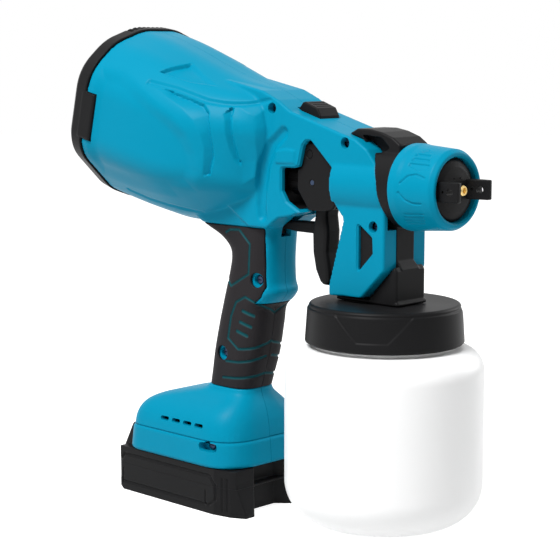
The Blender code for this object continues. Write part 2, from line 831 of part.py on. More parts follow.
def half_width_at(up):
    """Half the width of the housing's rear section at a height on its axis."""
    places = []
    for wide, height, _ in BARREL_CORNERS:
        places.append(((BARREL_TOP if height > 0 else BARREL_BOTTOM) * height, wide * BARREL_HALF_WIDTH))
    return between(places[::-1], up)[0]


def filter_pad():
    rings = [barrel_section_at(p, 5 * MM + GAP + WALL) for p in (-CAP_LENGTH + 3 * MM + GAP, -6 * MM)]
    keep_part(loft("filter", rings), "air_filter", LOOKS["foam"])


def along_axis(name, profile, start, steps=ROUND):
    """A lathe shape on the housing's axis; heights run forward from start."""
    return turned(name, profile, on_axis(start), FORWARD, steps)


def fan():
    """A radial fan: a back plate, a hub on the shaft and swept blades."""
    hub = 9 * MM
    bore = SHAFT_RADIUS + SLIP
    profile = [
        (bore, FAN_DEPTH), (bore, 0), (hub * 0.75, 0), (hub, 3 * MM), (hub, FAN_DEPTH - 5 * MM),
        (FAN_RADIUS, FAN_DEPTH - 2 * MM), (FAN_RADIUS, FAN_DEPTH), (bore, FAN_DEPTH),
    ]
    disc = along_axis("fan_disc", profile[::-1], FAN_START)
    blades = [fan_blade(i, hub) for i in range(BLADES)]
    join(disc, *blades)
    keep_part(disc, "fan_wheel", LOOKS["black_plastic"], on_axis(FAN_START))


def fan_blade(index, hub):
    """One blade: its outline curls back as it runs out, drawn from a formula."""
    steps = 3
    front = []
    back = []
    for k in range(steps + 1):
        t = k / steps
        radius = hub * 0.9 + (FAN_RADIUS - 1 * MM - hub * 0.9) * t
        angle = 2 * math.pi * index / BLADES + 0.9 * t * t
        half = 0.7 * MM / radius
        front.append((radius * math.cos(angle + half), radius * math.sin(angle + half)))
        back.append((radius * math.cos(angle - half), radius * math.sin(angle - half)))
    blade = plate("blade", front + back[::-1], 2 * MM, FAN_DEPTH - 1 * MM, "Z")
    turn = FORWARD.to_track_quat("Z", "Y").to_matrix().to_4x4()
    blade.data.transform(Matrix.Translation(on_axis(FAN_START)) @ turn)
    return blade


def fan_shroud():
    """The scroll round the fan: a drum with an inlet eye."""
    outer = FAN_RADIUS + 3.2 * MM
    inner = FAN_RADIUS + 1.2 * MM
    eye = 24 * MM
    rear = FAN_START - 3.5 * MM
    length = MOTOR_START - 4 * MM - GAP - rear
    profile = [
        (inner, length), (inner, 2 * MM), (eye, 2 * MM), (eye, 0), (outer, 0), (outer, length),
        (inner, length),
    ]
    drum = along_axis("shroud", profile, rear)
    keep_part(drum, "fan_shroud", LOOKS["black_plastic"])


def motor():
    """The motor's can, its two bearings, the plate that carries it and the shaft."""
    seat = 8 * MM
    depth = 5 * MM
    bore = SHAFT_RADIUS + 2 * MM
    profile = [
        (bore, depth), (seat + GAP, depth), (seat + GAP, 0), (MOTOR_RADIUS, 0),
        (MOTOR_RADIUS, MOTOR_LENGTH), (seat + GAP, MOTOR_LENGTH), (seat + GAP, MOTOR_LENGTH - depth),
        (bore, MOTOR_LENGTH - depth), (bore, depth),
    ]
    keep_part(along_axis("can", profile, MOTOR_START + GAP), "motor_can", LOOKS["steel"])
    race = SHAFT_RADIUS + GAP
    ring = [(race, 0), (seat, 0), (seat, depth - GAP), (race, depth - GAP), (race, 0)]
    rear_ring = along_axis("bearing", ring, MOTOR_START + GAP, SMALL_ROUND)
    keep_part(rear_ring, "bearing_rear", LOOKS["steel"])
    front = MOTOR_START + GAP + MOTOR_LENGTH - depth + GAP
    keep_part(along_axis("bearing", ring, front, SMALL_ROUND), "bearing_front", LOOKS["steel"])
    carrier = cap_stretch("carrier", MOTOR_START - 4 * MM, MOTOR_START, WALL + GAP)
    hole = rod("carrier_hole", on_axis(MOTOR_START - 9 * MM), on_axis(MOTOR_START + 5 * MM), 7 * MM)
    cut(carrier, hole, *carrier_vents())
    keep_part(carrier, "motor_plate", LOOKS["black_plastic"])
    start = FAN_START - 2 * MM
    end = MOTOR_START + MOTOR_LENGTH + 6 * MM
    shaft = rod("shaft", on_axis(start), on_axis(end), SHAFT_RADIUS)
    keep_part(shaft, "motor_shaft", LOOKS["steel"], on_axis(start))


def carrier_vents():
    """Air passes the motor through a ring of holes in its plate."""
    made = []
    for i in range(8):
        angle = 2 * math.pi * (i + 0.5) / 8
        side = 33 * MM * math.cos(angle)
        up = 33 * MM * math.sin(angle)
        start = on_axis(MOTOR_START - 9 * MM, side, up)
        made.append(rod("carrier_vent", start, start + FORWARD * 14 * MM, 8 * MM, steps=8))
    return made


# ---------------------------------------------------------------- spray body

COLUMN_OUTLINE = mm([
    (139.4, 214), (139.4, 177.5), (134.5, 162), (122.5, 160.8), (122.5, 151.9), (168.5, 151.9),
    (170.5, 156), (170.5, 174), (166, 179), (166, 214),
])
FOOT_OUTLINE = mm([(149.5, 151.9), (170.5, 151.9), (170.5, 173), (168.6, 176), (149.5, 156.6)])
FLANGE_OUTLINE = mm([(122, 151.9), (172, 151.9), (172, 154.4), (122, 154.4)])
TOP_OUTLINE = mm([
    (126, 252), (138, 258.2), (148, 258.2), (157, 256.6), (166, 253.6), (171.9, 249.6), (171.9, 236),
    (150, 236), (140, 246),
])
TOP_RECESS = mm([(141.5, 254.6), (157.5, 253.4), (164.5, 247.2), (156.6, 243.4), (150.5, 245.2)])
TOP_HALF = 13.5 * MM
COLLAR_RADIUS = 24.8 * MM
THREAD_RADIUS = 21.4 * MM
FOOT_HALF = 14 * MM
LUG_OUTLINE = mm([(95.6, 230), (95.6, 243), (98, 246), (103, 246), (105.6, 243), (105.6, 230)])
LUG_HALF = 12.4 * MM
PISTON_RADIUS = 4.5 * MM
PISTON_START = 99 * MM
PISTON_END = 113 * MM
BORE_RADIUS = 5 * MM
PACKING_START = 118 * MM
SPIGOT_RADIUS = 11 * MM
TUBE_RADIUS = 4 * MM
PLATE_IN = 13.2 * MM      # trigger side plates, inner face


def on_nozzle(name, start, end, radius, end_radius=None, steps=SMALL_ROUND):
    """A bar along the nozzle's axis."""
    return rod(name, (start, 0, NOZZLE_Z), (end, 0, NOZZLE_Z), radius, end_radius, steps)


def nozzle_turned(name, profile, steps=ROUND):
    """A lathe shape on the nozzle's axis, written as (radius, X)."""
    return turned(name, profile, (0, 0, NOZZLE_Z), (1, 0, 0), steps)


def offset_outline(points, distance):
    """The outline moved outward by distance, corner by corner (it runs either way round)."""
    area = sum(a[0] * b[1] - b[0] * a[1] for a, b in zip(points, points[1:] + points[:1]))
    side = 1 if area > 0 else -1
    moved = []
    for i, here in enumerate(points):
        before = Vector(here) - Vector(points[i - 1])
        after = Vector(points[(i + 1) % len(points)]) - Vector(here)
        n1 = Vector((before.y, -before.x)).normalized() * side
        n2 = Vector((after.y, -after.x)).normalized() * side
        mitre = (n1 + n2).normalized()
        moved.append(tuple(Vector(here) + mitre * distance / max(mitre.dot(n1), 0.4)))
    return moved


def spray_body():
    body = on_nozzle("body", 88 * MM, 168 * MM, BODY_BARREL_RADIUS, steps=16)
    collar = on_nozzle("collar", 141 * MM, NUT_REAR_X - GAP, COLLAR_RADIUS, steps=ROUND)
    top = bevel(plate("top", TOP_OUTLINE, -TOP_HALF, TOP_HALF), 1.2 * MM, 2, 50)
    join(collar, baked(top))
    for side in (-1, 1):
        ends = (side * 7.5 * MM, side * 20 * MM)
        cut(collar, plate("recess", TOP_RECESS, min(ends), max(ends)))
    beside = NECK_HALF_WIDTH + GAP
    cut(collar, plate("neck_clear", offset_outline(NECK_OUTLINE, GAP), -beside, beside))
    behind = offset_outline(FRONT_LIMIT, GAP)[2:] + mm([(60, 230)])
    cut(collar, plate("limit_clear", behind, -60 * MM, 60 * MM))
    column = plate("column", COLUMN_OUTLINE, -FRAME_INSIDE + GAP, FRAME_INSIDE - GAP)
    foot = bevel(plate("foot", FOOT_OUTLINE, -FOOT_HALF, FOOT_HALF), 2.5 * MM, 2, 60)
    flange = bevel(plate("flange", FLANGE_OUTLINE, -FOOT_HALF, FOOT_HALF), 1 * MM, 1, 60)
    lug = plate("lug", LUG_OUTLINE, -LUG_HALF, LUG_HALF)
    thread = on_nozzle("thread", 169 * MM, 186 * MM, THREAD_RADIUS, steps=20)
    spigot = rod("spigot", (JAR_X, 0, 143 * MM), (JAR_X, 0, 153 * MM), SPIGOT_RADIUS, steps=20)
    join(body, baked(collar), column, baked(foot), baked(flange), lug, thread, spigot)
    cut(body, on_nozzle("piston_bore", 80 * MM, PACKING_START, BORE_RADIUS))
    cut(body, on_nozzle("packing_bore", PACKING_START - MM, PACKING_START + 6 * MM, BORE_RADIUS + GAP))
    cut(body, on_nozzle("needle_bore", 110 * MM, 180 * MM, NEEDLE_RADIUS + 0.7 * MM, steps=12))
    cut(body, on_nozzle("nozzle_bore", 174 * MM, 190 * MM, 5.95 * MM, steps=16))
    cut(body, rod("paint_bore", (JAR_X, 0, 140 * MM), (JAR_X, 0, NOZZLE_Z), 2.6 * MM, steps=12))
    cut(body, rod("tube_bore", (JAR_X, 0, 140 * MM), (JAR_X, 0, 152 * MM), TUBE_RADIUS + GAP))
    bore = PIVOT_PIN_RADIUS + GAP
    cut(body, cross_bore("pivot_bore", PIVOT_X, PIVOT_Z, -30 * MM, 30 * MM, bore, SMALL_ROUND))
    cut(body, block("pin_slot", (97 * MM, -30 * MM, 221 * MM), (105 * MM, 30 * MM, 226.2 * MM)))
    cut(body, screw_passage())
    keep_part(body, "spray_body", LOOKS["black_plastic"])


def screw_passage():
    """The frame's screw and its boss pass through the column."""
    x, z, _ = (c * MM for c in SCREWS["frame"])
    return cross_bore("frame_screw_way", x, z, -30 * MM, 30 * MM, SCREW_SHANK + SLIP)


def nozzle():
    profile = mm([
        (1.7, 208.3), (1.7, 176.3), (5.5, 176.3), (5.5, 186.3), (9, 186.3), (9, 190), (7, 191), (2.5, 200.5),
        (2.2, 208.3), (1.7, 208.3),
    ])
    keep_part(nozzle_turned("nozzle", profile[::-1], 16), "fluid_nozzle", LOOKS["brass"])


def air_cap():
    """A domed disc with a hole round the nozzle's tip and two horns with air holes."""
    profile = mm([
        (3.3, 204.2), (8, 203.9), (13.5, 202.9), (17.5, 201.2), (19, 199.4), (19, 198.3), (21.6, 198.3),
        (21.6, 195.5), (18, 195.5), (17, 198.6), (12, 200.6), (3.3, 201.6), (3.3, 204.2),
    ])
    cap = nozzle_turned("cap", profile, 20)
    low = NOZZLE_Z - HORN_HALF_HEIGHT
    high = NOZZLE_Z + HORN_HALF_HEIGHT
    for side in (-1, 1):
        outline = [
            (200 * MM, side * 8.5 * MM), (203 * MM, side * 9.5 * MM), (HORN_TIP_X, side * 13 * MM),
            (HORN_TIP_X, side * 16.2 * MM), (211 * MM, side * 17 * MM), (200 * MM, side * 17 * MM),
        ]
        horn = plate("horn", outline if side > 0 else outline[::-1], low, high, "Z")
        join(cap, baked(bevel(horn, 0.5 * MM, 1, 40)))
        for x, radius in ((212 * MM, 1.5 * MM), (206.3 * MM, 0.7 * MM)):
            ends = ((x, side * 6 * MM, NOZZLE_Z), (x, side * 24 * MM, NOZZLE_Z))
            cut(cap, rod("air_hole", *ends, radius, steps=8))
    keep_part(cap, "air_cap", LOOKS["black_plastic"], (HORN_TIP_X, 0, NOZZLE_Z))


def lock_nut():
    front = NUT_FRONT_X
    rear = NUT_REAR_X
    slim = NUT_RADIUS - 2.2 * MM
    mouth = NUT_MOUTH_RADIUS
    room = THREAD_RADIUS + 0.6 * MM
    lip = 6.7 * MM
    profile = [
        (mouth, front - 1.2 * MM), (mouth + 1 * MM, front), (slim - 2 * MM, front),
        (slim - 0.5 * MM, front - MM), (slim, front - 3 * MM), (NUT_RADIUS - 0.6 * MM, rear + 9 * MM),
        (NUT_RADIUS, rear + 6 * MM), (NUT_RADIUS, rear + MM), (NUT_RADIUS - MM, rear), (room, rear),
        (room, front - lip), (mouth, front - lip), (mouth, front - 1.2 * MM),
    ]
    nut = nozzle_turned("nut", profile)
    keep_part(nut, "lock_nut", LOOKS["blue_plastic"], (NUT_REAR_X, 0, NOZZLE_Z))


def needle():
    """The needle with its piston, and a tail that stops short of the knob when fully pulled."""
    tip_start = 198 * MM
    tail = 1.8 * MM
    tail_end = KNOB_STEM_X + NEEDLE_TRAVEL + 2 * GAP
    profile = [
        (0, 207.4 * MM), (0.5 * MM, 207 * MM), (NEEDLE_RADIUS, tip_start), (NEEDLE_RADIUS, PISTON_END),
        (PISTON_RADIUS, PISTON_END), (PISTON_RADIUS, PISTON_START), (tail, PISTON_START),
        (tail, tail_end), (0, tail_end),
    ]
    rod_part = nozzle_turned("needle", profile, SMALL_ROUND)
    hole = 2.35 * MM
    across = ((PIN_X, -10 * MM, NOZZLE_Z - 0.25 * MM), (PIN_X, 10 * MM, NOZZLE_Z - 0.25 * MM))
    cut(rod_part, rod("needle_hole", *across, hole))
    keep_part(rod_part, "needle", LOOKS["steel"], (PISTON_START, 0, NOZZLE_Z))
    seal = [
        (NEEDLE_RADIUS + GAP, 118.3 * MM), (BORE_RADIUS, 118.3 * MM), (BORE_RADIUS, 123.6 * MM),
        (NEEDLE_RADIUS + GAP, 123.6 * MM), (NEEDLE_RADIUS + GAP, 118.3 * MM),
    ]
    packing = nozzle_turned("seal", seal[::-1], SMALL_ROUND)
    keep_part(packing, "needle_packing", LOOKS["rubber"])


def needle_spring():
    """A short coil between the knob's stem and the needle's piston."""
    turns = 3.5
    per_turn = 8
    wire = 0.6 * MM
    radius = PISTON_RADIUS - wire - 0.4 * MM
    start = KNOB_STEM_X + 2 * GAP + wire
    length = PISTON_START - 0.4 * MM - wire - start
    curve = bpy.data.curves.new("spring", "CURVE")
    curve.dimensions = "3D"
    curve.bevel_depth = wire
    curve.bevel_resolution = 0
    curve.use_fill_caps = True
    count = int(turns * per_turn) + 1
    spline = curve.splines.new("POLY")
    spline.points.add(count - 1)
    for i, point in enumerate(spline.points):
        t = i / (count - 1)
        angle = 2 * math.pi * turns * t
        point.co = (start + length * t, radius * math.cos(angle), NOZZLE_Z + radius * math.sin(angle), 1)
    coil = bpy.data.objects.new("spring_curve", curve)
    CUTTERS.objects.link(coil)
    keep_part(baked(coil, "spring_mesh"), "needle_spring", LOOKS["steel"])
    bpy.data.objects.remove(coil, do_unlink=True)


def flow_knob():
    rear = 76 * MM
    front = 87.7 * MM
    radius = 10.8 * MM
    rim = 1.5 * MM
    stem = BORE_RADIUS - SLIP
    profile = [
        (0, KNOB_STEM_X), (stem, KNOB_STEM_X), (stem, front), (radius - rim, front),
        (radius, front - rim), (radius, rear + rim), (radius - rim, rear), (0, rear),
    ]
    knob = nozzle_turned("knob", profile, 16)
    for i in range(8):
        angle = 2 * math.pi * i / 8
        y = (radius + 0.5 * MM) * math.cos(angle)
        z = NOZZLE_Z + (radius + 0.5 * MM) * math.sin(angle)
        cut(knob, rod("flute", (rear - MM, y, z), (front - 1.6 * MM, y, z), 1.6 * MM, steps=6))
    keep_part(knob, "flow_knob", LOOKS["black_plastic"], (rear, 0, NOZZLE_Z))


# ---------------------------------------------------------------- trigger and its switch

PLATE_OUTLINE = mm([
    (97, 247.2), (103, 248), (112, 246.5), (125, 232), (127, 216), (120, 207.6), (113, 205.9), (100, 205.9),
    (90.5, 218.5), (90.7, 231), (94.3, 232.4), (95.4, 244.5),
])
LEVER_OUTLINE = mm([
    (97, 207.4), (96.5, 202), (94.2, 191), (94.6, 178), (97, 167), (101, 159.6), (103.5, 157.9),
    (106.8, 157.8), (109.2, 160), (109, 166), (106.6, 179), (107.4, 192), (106, 202), (107, 207.4),
])
ARM_OUTLINE = mm([(98, 189.4), (98, 197), (78, 196.8), (62, 194.8), (62, 191.2), (76, 189.6)])
LEVER_HALF = 6.9 * MM
ARM_TIP_X = 62 * MM


def trigger():
    lever = bevel(plate("lever", LEVER_OUTLINE, -LEVER_HALF, LEVER_HALF), 2.4 * MM, 2, 50)
    body = baked(lever, "trigger_form")
    outer = PLATE_IN + PLATE_THICKNESS
    join(body, block("web", (100.6 * MM, -outer, 206.1 * MM), (112.4 * MM, outer, 208.8 * MM)))
    join(body, baked(bevel(plate("arm", ARM_OUTLINE, -ARM_HALF, ARM_HALF), 0.8 * MM, 1, 50)))
    for side in (-1, 1):
        ends = (side * PLATE_IN, side * outer)
        join(body, plate("side_plate", PLATE_OUTLINE, min(ends), max(ends)))
    ends = ((PIVOT_X, -30 * MM, PIVOT_Z), (PIVOT_X, 30 * MM, PIVOT_Z))
    cut(body, rod("pivot_hole", *ends, PIVOT_PIN_RADIUS + GAP))
    ends = ((PIN_X, -30 * MM, NOZZLE_Z - 0.5 * MM), (PIN_X, 30 * MM, NOZZLE_Z - 0.5 * MM))
    cut(body, rod("pin_hole", *ends, CROSS_PIN_RADIUS + GAP))
    keep_part(body, "trigger", LOOKS["black_plastic"], (PIVOT_X, 0, PIVOT_Z))
    reach = outer - 0.4 * MM
    pivot = rod("pivot", (PIVOT_X, -reach, PIVOT_Z), (PIVOT_X, reach, PIVOT_Z), PIVOT_PIN_RADIUS)
    keep_part(pivot, "trigger_pivot", LOOKS["steel"])
    z = NOZZLE_Z - 0.5 * MM
    pin = rod("cross_pin", (PIN_X, -reach, z), (PIN_X, reach, z), CROSS_PIN_RADIUS)
    keep_part(pin, "needle_pin", LOOKS["steel"], (PIN_X, 0, z))


def trigger_switch():
    body = block("switch", (SWITCH_REAR_X, -7 * MM, SWITCH_LOW_Z), (SWITCH_FRONT_X, 7 * MM, SWITCH_HIGH_Z))
    z = (SWITCH_LOW_Z + SWITCH_HIGH_Z) / 2
    stem = 2.5 * MM
    cut(body, rod("stem_hole", (30 * MM, 0, z), (50 * MM, 0, z), stem + SLIP))
    keep_part(body, "trigger_switch", LOOKS["black_plastic"])
    front = ARM_TIP_X - GAP
    pad = block("pad", (front - 3 * MM, -3.6 * MM, 187 * MM), (front, 3.6 * MM, 207 * MM))
    join(pad, rod("stem", (40.5 * MM, 0, z), (front - MM, 0, z), stem))
    keep_part(pad, "switch_plunger", LOOKS["black_plastic"], (front, 0, z))


# ---------------------------------------------------------------- top button

def top_button():
    outline = mm([
        (84.5, 262.4), (84.5, 268.4), (88.3, 272.8), (90, 273.2), (100.6, 269.4), (103.5, 264.6),
        (103.5, 260.4),
    ])
    button = bevel(plate("button", outline, -BUTTON_HALF, BUTTON_HALF), 0.6 * MM, 1, 50)
    button = baked(button, "button_form")
    slope = math.radians(19.7)
    for i in range(3):
        x = (91.8 + 2.9 * i) * MM
        z = 273.0 * MM - (x - 90 * MM) * math.tan(slope)
        cut(button, block("rib_gap", (x, -6.6 * MM, z - 0.4 * MM), (x + 1.1 * MM, 6.6 * MM, z + 2 * MM)))
    keep_part(button, "power_button", LOOKS["black_plastic"], mm([(94, 0, 268)])[0])
    body = block("tact", mm([(90, -4, 254.3)])[0], mm([(98, 4, 256.2)])[0])
    join(body, rod("tact_stem", *mm([(94, 0, 256), (94, 0, 258.3)]), 2 * MM))
    keep_part(body, "button_switch", LOOKS["board"])


# ---------------------------------------------------------------- jar and lid

def arc_points(centre, radius, start_deg, end_deg, steps):
    """Points (radius, height) on an arc."""
    made = []
    for k in range(steps + 1):
        angle = math.radians(start_deg + (end_deg - start_deg) * k / steps)
        made.append((centre[0] + radius * math.cos(angle), centre[1] + radius * math.sin(angle)))
    return made


def jar_side(inset):
    """The jar's side from the neck's rim down to its floor."""
    rim = LID_TOP_Z - LID_WALL - GAP * 2 - GASKET
    neck = NECK_RADIUS - inset
    shoulder = 15 * MM
    foot = 26 * MM
    points = [(neck, rim), (neck, JAR_SHOULDER_Z - inset * 0.6)]
    side = JAR_RADIUS - inset
    points += arc_points((side - shoulder, JAR_SHOULDER_Z - inset - shoulder), shoulder, 82, 0, 3)
    points += arc_points((side - foot + inset, JAR_FLOOR_Z + foot), foot - inset, 0, -90, 3)
    points.append((0, JAR_FLOOR_Z + inset + 1.2 * MM))
    return points


def jar():
    profile = jar_side(JAR_WALL)[::-1] + jar_side(0)
    shape = turned("jar", profile, (JAR_X, 0, 0), (0, 0, 1), ROUND)
    keep_part(shape, "paint_jar", LOOKS["jar_plastic"], (JAR_X, 0, 0))


def lid():
    inner = NECK_RADIUS + SLIP
    hole = SPIGOT_RADIUS + GAP
    top = LID_TOP_Z
    low = LID_LOW_Z
    slim = LID_RADIUS - 1.4 * MM
    profile = [
        (hole, top), (slim - 5 * MM, top), (slim - 1.5 * MM, top - MM), (slim, top - 3.5 * MM),
        (LID_RADIUS, low + MM), (LID_RADIUS - MM, low), (inner, low), (inner, top - LID_WALL),
        (hole, top - LID_WALL), (hole, top),
    ]
    keep_part(turned("lid", profile, (JAR_X, 0, 0), (0, 0, 1), ROUND), "jar_lid", LOOKS["black_plastic"])
    seal_top = top - LID_WALL - GAP
    seal_low = seal_top - GASKET
    wide = NECK_RADIUS - GAP
    slim = 30 * MM
    seal = [(slim, seal_top), (wide, seal_top), (wide, seal_low), (slim, seal_low), (slim, seal_top)]
    keep_part(turned("seal", seal, (JAR_X, 0, 0), (0, 0, 1), ROUND), "lid_gasket", LOOKS["rubber"])


def pickup_tube():
    low = JAR_FLOOR_Z + 9 * MM
    high = 151.7 * MM
    inner = 2.8 * MM
    profile = [(inner, high), (TUBE_RADIUS, high), (TUBE_RADIUS, low), (inner, low), (inner, high)]
    tube = turned("tube", profile, (JAR_X, 0, 0), (0, 0, 1), SMALL_ROUND)
    keep_part(tube, "pickup_tube", LOOKS["jar_plastic"])


# ---------------------------------------------------------------- battery and electrics

def battery_rear():
    return BATTERY_FRONT_X - BATTERY_LENGTH


def battery_plan():
    """The case from above, with a corner post on each side of a recessed front."""
    half = BATTERY_WIDTH / 2
    rear = battery_rear()
    near = [
        (rear, -half + 7 * MM), (rear + 7 * MM, -half), (35 * MM, -half), (48 * MM, -half + 2.6 * MM),
        (BATTERY_FRONT_X, -half + 7.6 * MM), (BATTERY_FRONT_X, -half + 15.5 * MM), (44 * MM, -10 * MM),
    ]
    return near + [(x, -y) for x, y in near[::-1]]


def battery_side():
    """What the case's side view keeps: sloped ends, and front posts that flare at the foot."""
    rear = battery_rear()
    front = BATTERY_FRONT_X
    return [
        (rear, 8 * MM), (rear, 22.4 * MM), (rear + 7.8 * MM, 32 * MM), (front - 6.1 * MM, 32 * MM),
        (front - 6.1 * MM, 22 * MM), (front, 2 * MM), (front, -1 * MM), (rear + 10.7 * MM, -1 * MM),
    ]


def battery():
    half = BATTERY_WIDTH / 2
    inside = half - BATTERY_WALL
    cell_half = CELLS * (CELL_RADIUS + GAP / 2)
    room_low = (CELLS_X - cell_half - GAP, -CELL_LENGTH / 2 - GAP, BATTERY_WALL)
    room_high = (CELLS_X + cell_half + GAP, CELL_LENGTH / 2 + GAP, BATTERY_SPLIT_Z + 4.6 * MM)
    form = plate("case_form", battery_plan(), 0, BATTERY_HEIGHT, "Z")
    overlap(form, plate("case_side", battery_side(), -60 * MM, 60 * MM))
    form = baked(form, "case_whole")
    below = block("low", (-90 * MM, -60 * MM, -MM), (90 * MM, 60 * MM, BATTERY_SPLIT_Z))
    lower = overlap(baked(form, "lower_form"), below)
    cut(lower, block("cell_room", room_low, room_high))
    for side in (-1, 1):
        ends = (side * (half - 0.8 * MM), side * (half + 2 * MM))
        for x in (-58, 26):
            cut(lower, block("panel_line", (x * MM, min(ends), 4 * MM), ((x + 1.2) * MM, max(ends), 16 * MM)))
    keep_part(lower, "battery_lower_case", LOOKS["black_plastic"])
    above = block("high", (-90 * MM, -60 * MM, BATTERY_SPLIT_Z + GAP), (90 * MM, 60 * MM, 90 * MM))
    upper = baked(overlap(baked(form, "upper_form"), above), "battery_upper_form")
    hump = bevel(plate("hump", hump_outline(), -29 * MM, 29 * MM), 1.5 * MM, 2, 50)
    join(upper, baked(hump), *rail_blocks(0))
    cut(upper, block("cell_room_top", room_low, room_high))
    pocket_low = (battery_rear() - 5 * MM, -13 * MM - SLIP, 29 * MM)
    cut(upper, block("latch_pocket", pocket_low, (LATCH_FRONT_X + SLIP, 13 * MM + SLIP, 60 * MM)))
    for y in (-14, 0, 14):
        slot_low = (RAIL_FRONT_X - 12 * MM, (y - 1.2) * MM, 34.4 * MM)
        cut(upper, block("blade_slot", slot_low, (RAIL_FRONT_X + 5 * MM, (y + 1.2) * MM, 40.2 * MM)))
    keep_part(upper, "battery_upper_case", LOOKS["black_plastic"])
    for i in range(CELLS):
        x = CELLS_X + (i - (CELLS - 1) / 2) * (2 * CELL_RADIUS + GAP)
        z = BATTERY_WALL + GAP + CELL_RADIUS
        cell = rod("cell", (x, -CELL_LENGTH / 2, z), (x, CELL_LENGTH / 2, z), CELL_RADIUS)
        keep_part(cell, f"cell_{i + 1}", LOOKS["cell_wrap"])


def hump_outline():
    rear = battery_rear()
    front = rear + 13.4 * MM
    return [
        (rear + MM, 27 * MM), (rear + MM, 29.5 * MM), (front - 3 * MM, 47 * MM), (front, 47 * MM),
        (front, 27 * MM),
    ]


def battery_latch():
    """The release button in the battery's rear hump; it is pushed down."""
    rear = battery_rear()
    outline = [
        (rear + 1.6 * MM, 32.4 * MM), (rear + 1.2 * MM, 33.2 * MM), (-60.5 * MM, 47.8 * MM),
        (LATCH_FRONT_X, 47.8 * MM), (LATCH_FRONT_X, 32.4 * MM),
    ]
    button = bevel(plate("latch", outline, -13 * MM, 13 * MM), 0.6 * MM, 1, 50)
    keep_part(button, "battery_button", LOOKS["black_plastic"], (rear, 0, 40 * MM))
    top = 32.1 * MM
    low = 29.3 * MM
    inner = 2 * MM
    outer = 3 * MM
    tube = [(inner, top), (outer, top), (outer, low), (inner, low), (inner, top)]
    spring = turned("latch_spring", tube, (-60.5 * MM, 0, 0), (0, 0, 1), 12)
    keep_part(spring, "battery_button_spring", LOOKS["steel"])


def terminal_room(slack):
    low = (RAIL_FRONT_X + GAP * 2 - slack, -19 * MM - slack, BATTERY_HEIGHT + 2.6 * MM - slack)
    high = (RAIL_FRONT_X + 5 * MM + slack, 19 * MM + slack, BASE_FLOOR_Z + MM)
    return block("terminal_room", low, high)


def terminals():
    low = (RAIL_FRONT_X + GAP * 2, -19 * MM, BATTERY_HEIGHT + 2.6 * MM)
    body = block("terminals", low, (RAIL_FRONT_X + 5 * MM, 19 * MM, BASE_FLOOR_Z))
    for y in (-14, 0, 14):
        blade_low = (RAIL_FRONT_X - 10 * MM, (y - 0.5) * MM, 35.2 * MM)
        join(body, block("blade", blade_low, (RAIL_FRONT_X + 3 * MM, (y + 0.5) * MM, 39.4 * MM)))
    keep_part(body, "terminal_block", LOOKS["copper"])


def board():
    floor = BASE_FLOOR_Z + GAP
    body = block("board", (-38 * MM, -24 * MM, floor), (16 * MM, 24 * MM, floor + 1.6 * MM))
    join(body, block("chip", (-20 * MM, -8 * MM, floor + MM), (-6 * MM, 6 * MM, floor + 4 * MM)))
    join(body, rod("capacitor", (4 * MM, 10 * MM, floor + MM), (4 * MM, 10 * MM, floor + 12 * MM), 5 * MM))
    keep_part(body, "control_board", LOOKS["board"])


def wire_loom():
    """The leads from the board up the handle to the trigger's switch."""
    curve = bpy.data.curves.new("loom", "CURVE")
    curve.dimensions = "3D"
    curve.bevel_depth = 2 * MM
    curve.bevel_resolution = 2
    curve.use_fill_caps = True
    route = mm([
        (13, 0, 49.4), (15, 0, 56), (20, 0, 66), (25, 0, 78), (30.5, 0, 92), (32, 0, 106), (33.5, 0, 118),
        (36.5, 0, 134), (40, 0, 152), (42, 0, 168), (40, 0, 180), (38.5, 0, 188),
    ])
    spline = curve.splines.new("POLY")
    spline.points.add(len(route) - 1)
    for point, place in zip(spline.points, route):
        point.co = (*place, 1)
    drawn = bpy.data.objects.new("loom_curve", curve)
    CUTTERS.objects.link(drawn)
    keep_part(baked(drawn, "loom_mesh"), "wire_loom", LOOKS["rubber"])
    bpy.data.objects.remove(drawn, do_unlink=True)


shells()
screws()
grips()
rear_cap()
filter_pad()
fan()
fan_shroud()
motor()
spray_body()
nozzle()
air_cap()
lock_nut()
needle()
needle_spring()
flow_knob()
trigger()
trigger_switch()
top_button()
lid()
jar()
pickup_tube()
battery()
battery_latch()
terminals()
board()
wire_loom()
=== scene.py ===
"""Looks for the cordless paint spray gun: smooth moulded forms, sculpted details and materials
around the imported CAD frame.

Lengths are in metres in the row's frame; outlines are in millimetres and pass through mm().
"""

import json
import math

import bmesh
import bpy
import numpy as np
from mathutils import Matrix, Vector


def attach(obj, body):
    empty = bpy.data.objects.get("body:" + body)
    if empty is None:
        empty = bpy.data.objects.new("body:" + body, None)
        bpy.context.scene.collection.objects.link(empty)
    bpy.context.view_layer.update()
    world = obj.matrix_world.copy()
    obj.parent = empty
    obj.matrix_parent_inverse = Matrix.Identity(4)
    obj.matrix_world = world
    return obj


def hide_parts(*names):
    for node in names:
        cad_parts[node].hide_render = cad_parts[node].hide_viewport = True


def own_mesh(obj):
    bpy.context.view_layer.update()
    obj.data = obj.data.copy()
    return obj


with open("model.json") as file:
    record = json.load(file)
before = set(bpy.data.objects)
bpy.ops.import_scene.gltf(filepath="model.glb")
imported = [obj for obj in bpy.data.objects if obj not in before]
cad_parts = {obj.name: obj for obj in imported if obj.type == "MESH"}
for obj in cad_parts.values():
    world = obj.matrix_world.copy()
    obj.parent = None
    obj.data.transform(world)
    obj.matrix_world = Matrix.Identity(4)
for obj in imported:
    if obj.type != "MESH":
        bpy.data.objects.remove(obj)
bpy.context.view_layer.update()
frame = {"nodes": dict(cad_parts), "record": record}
NODES = frame["nodes"]

MM = 0.001
GAP = 0.3 * MM  # between neighbouring pieces
PARTING = 0.15  # from the centre plane to each half of a piece, in mm
FINE = 1.0  # voxels grow while trying things

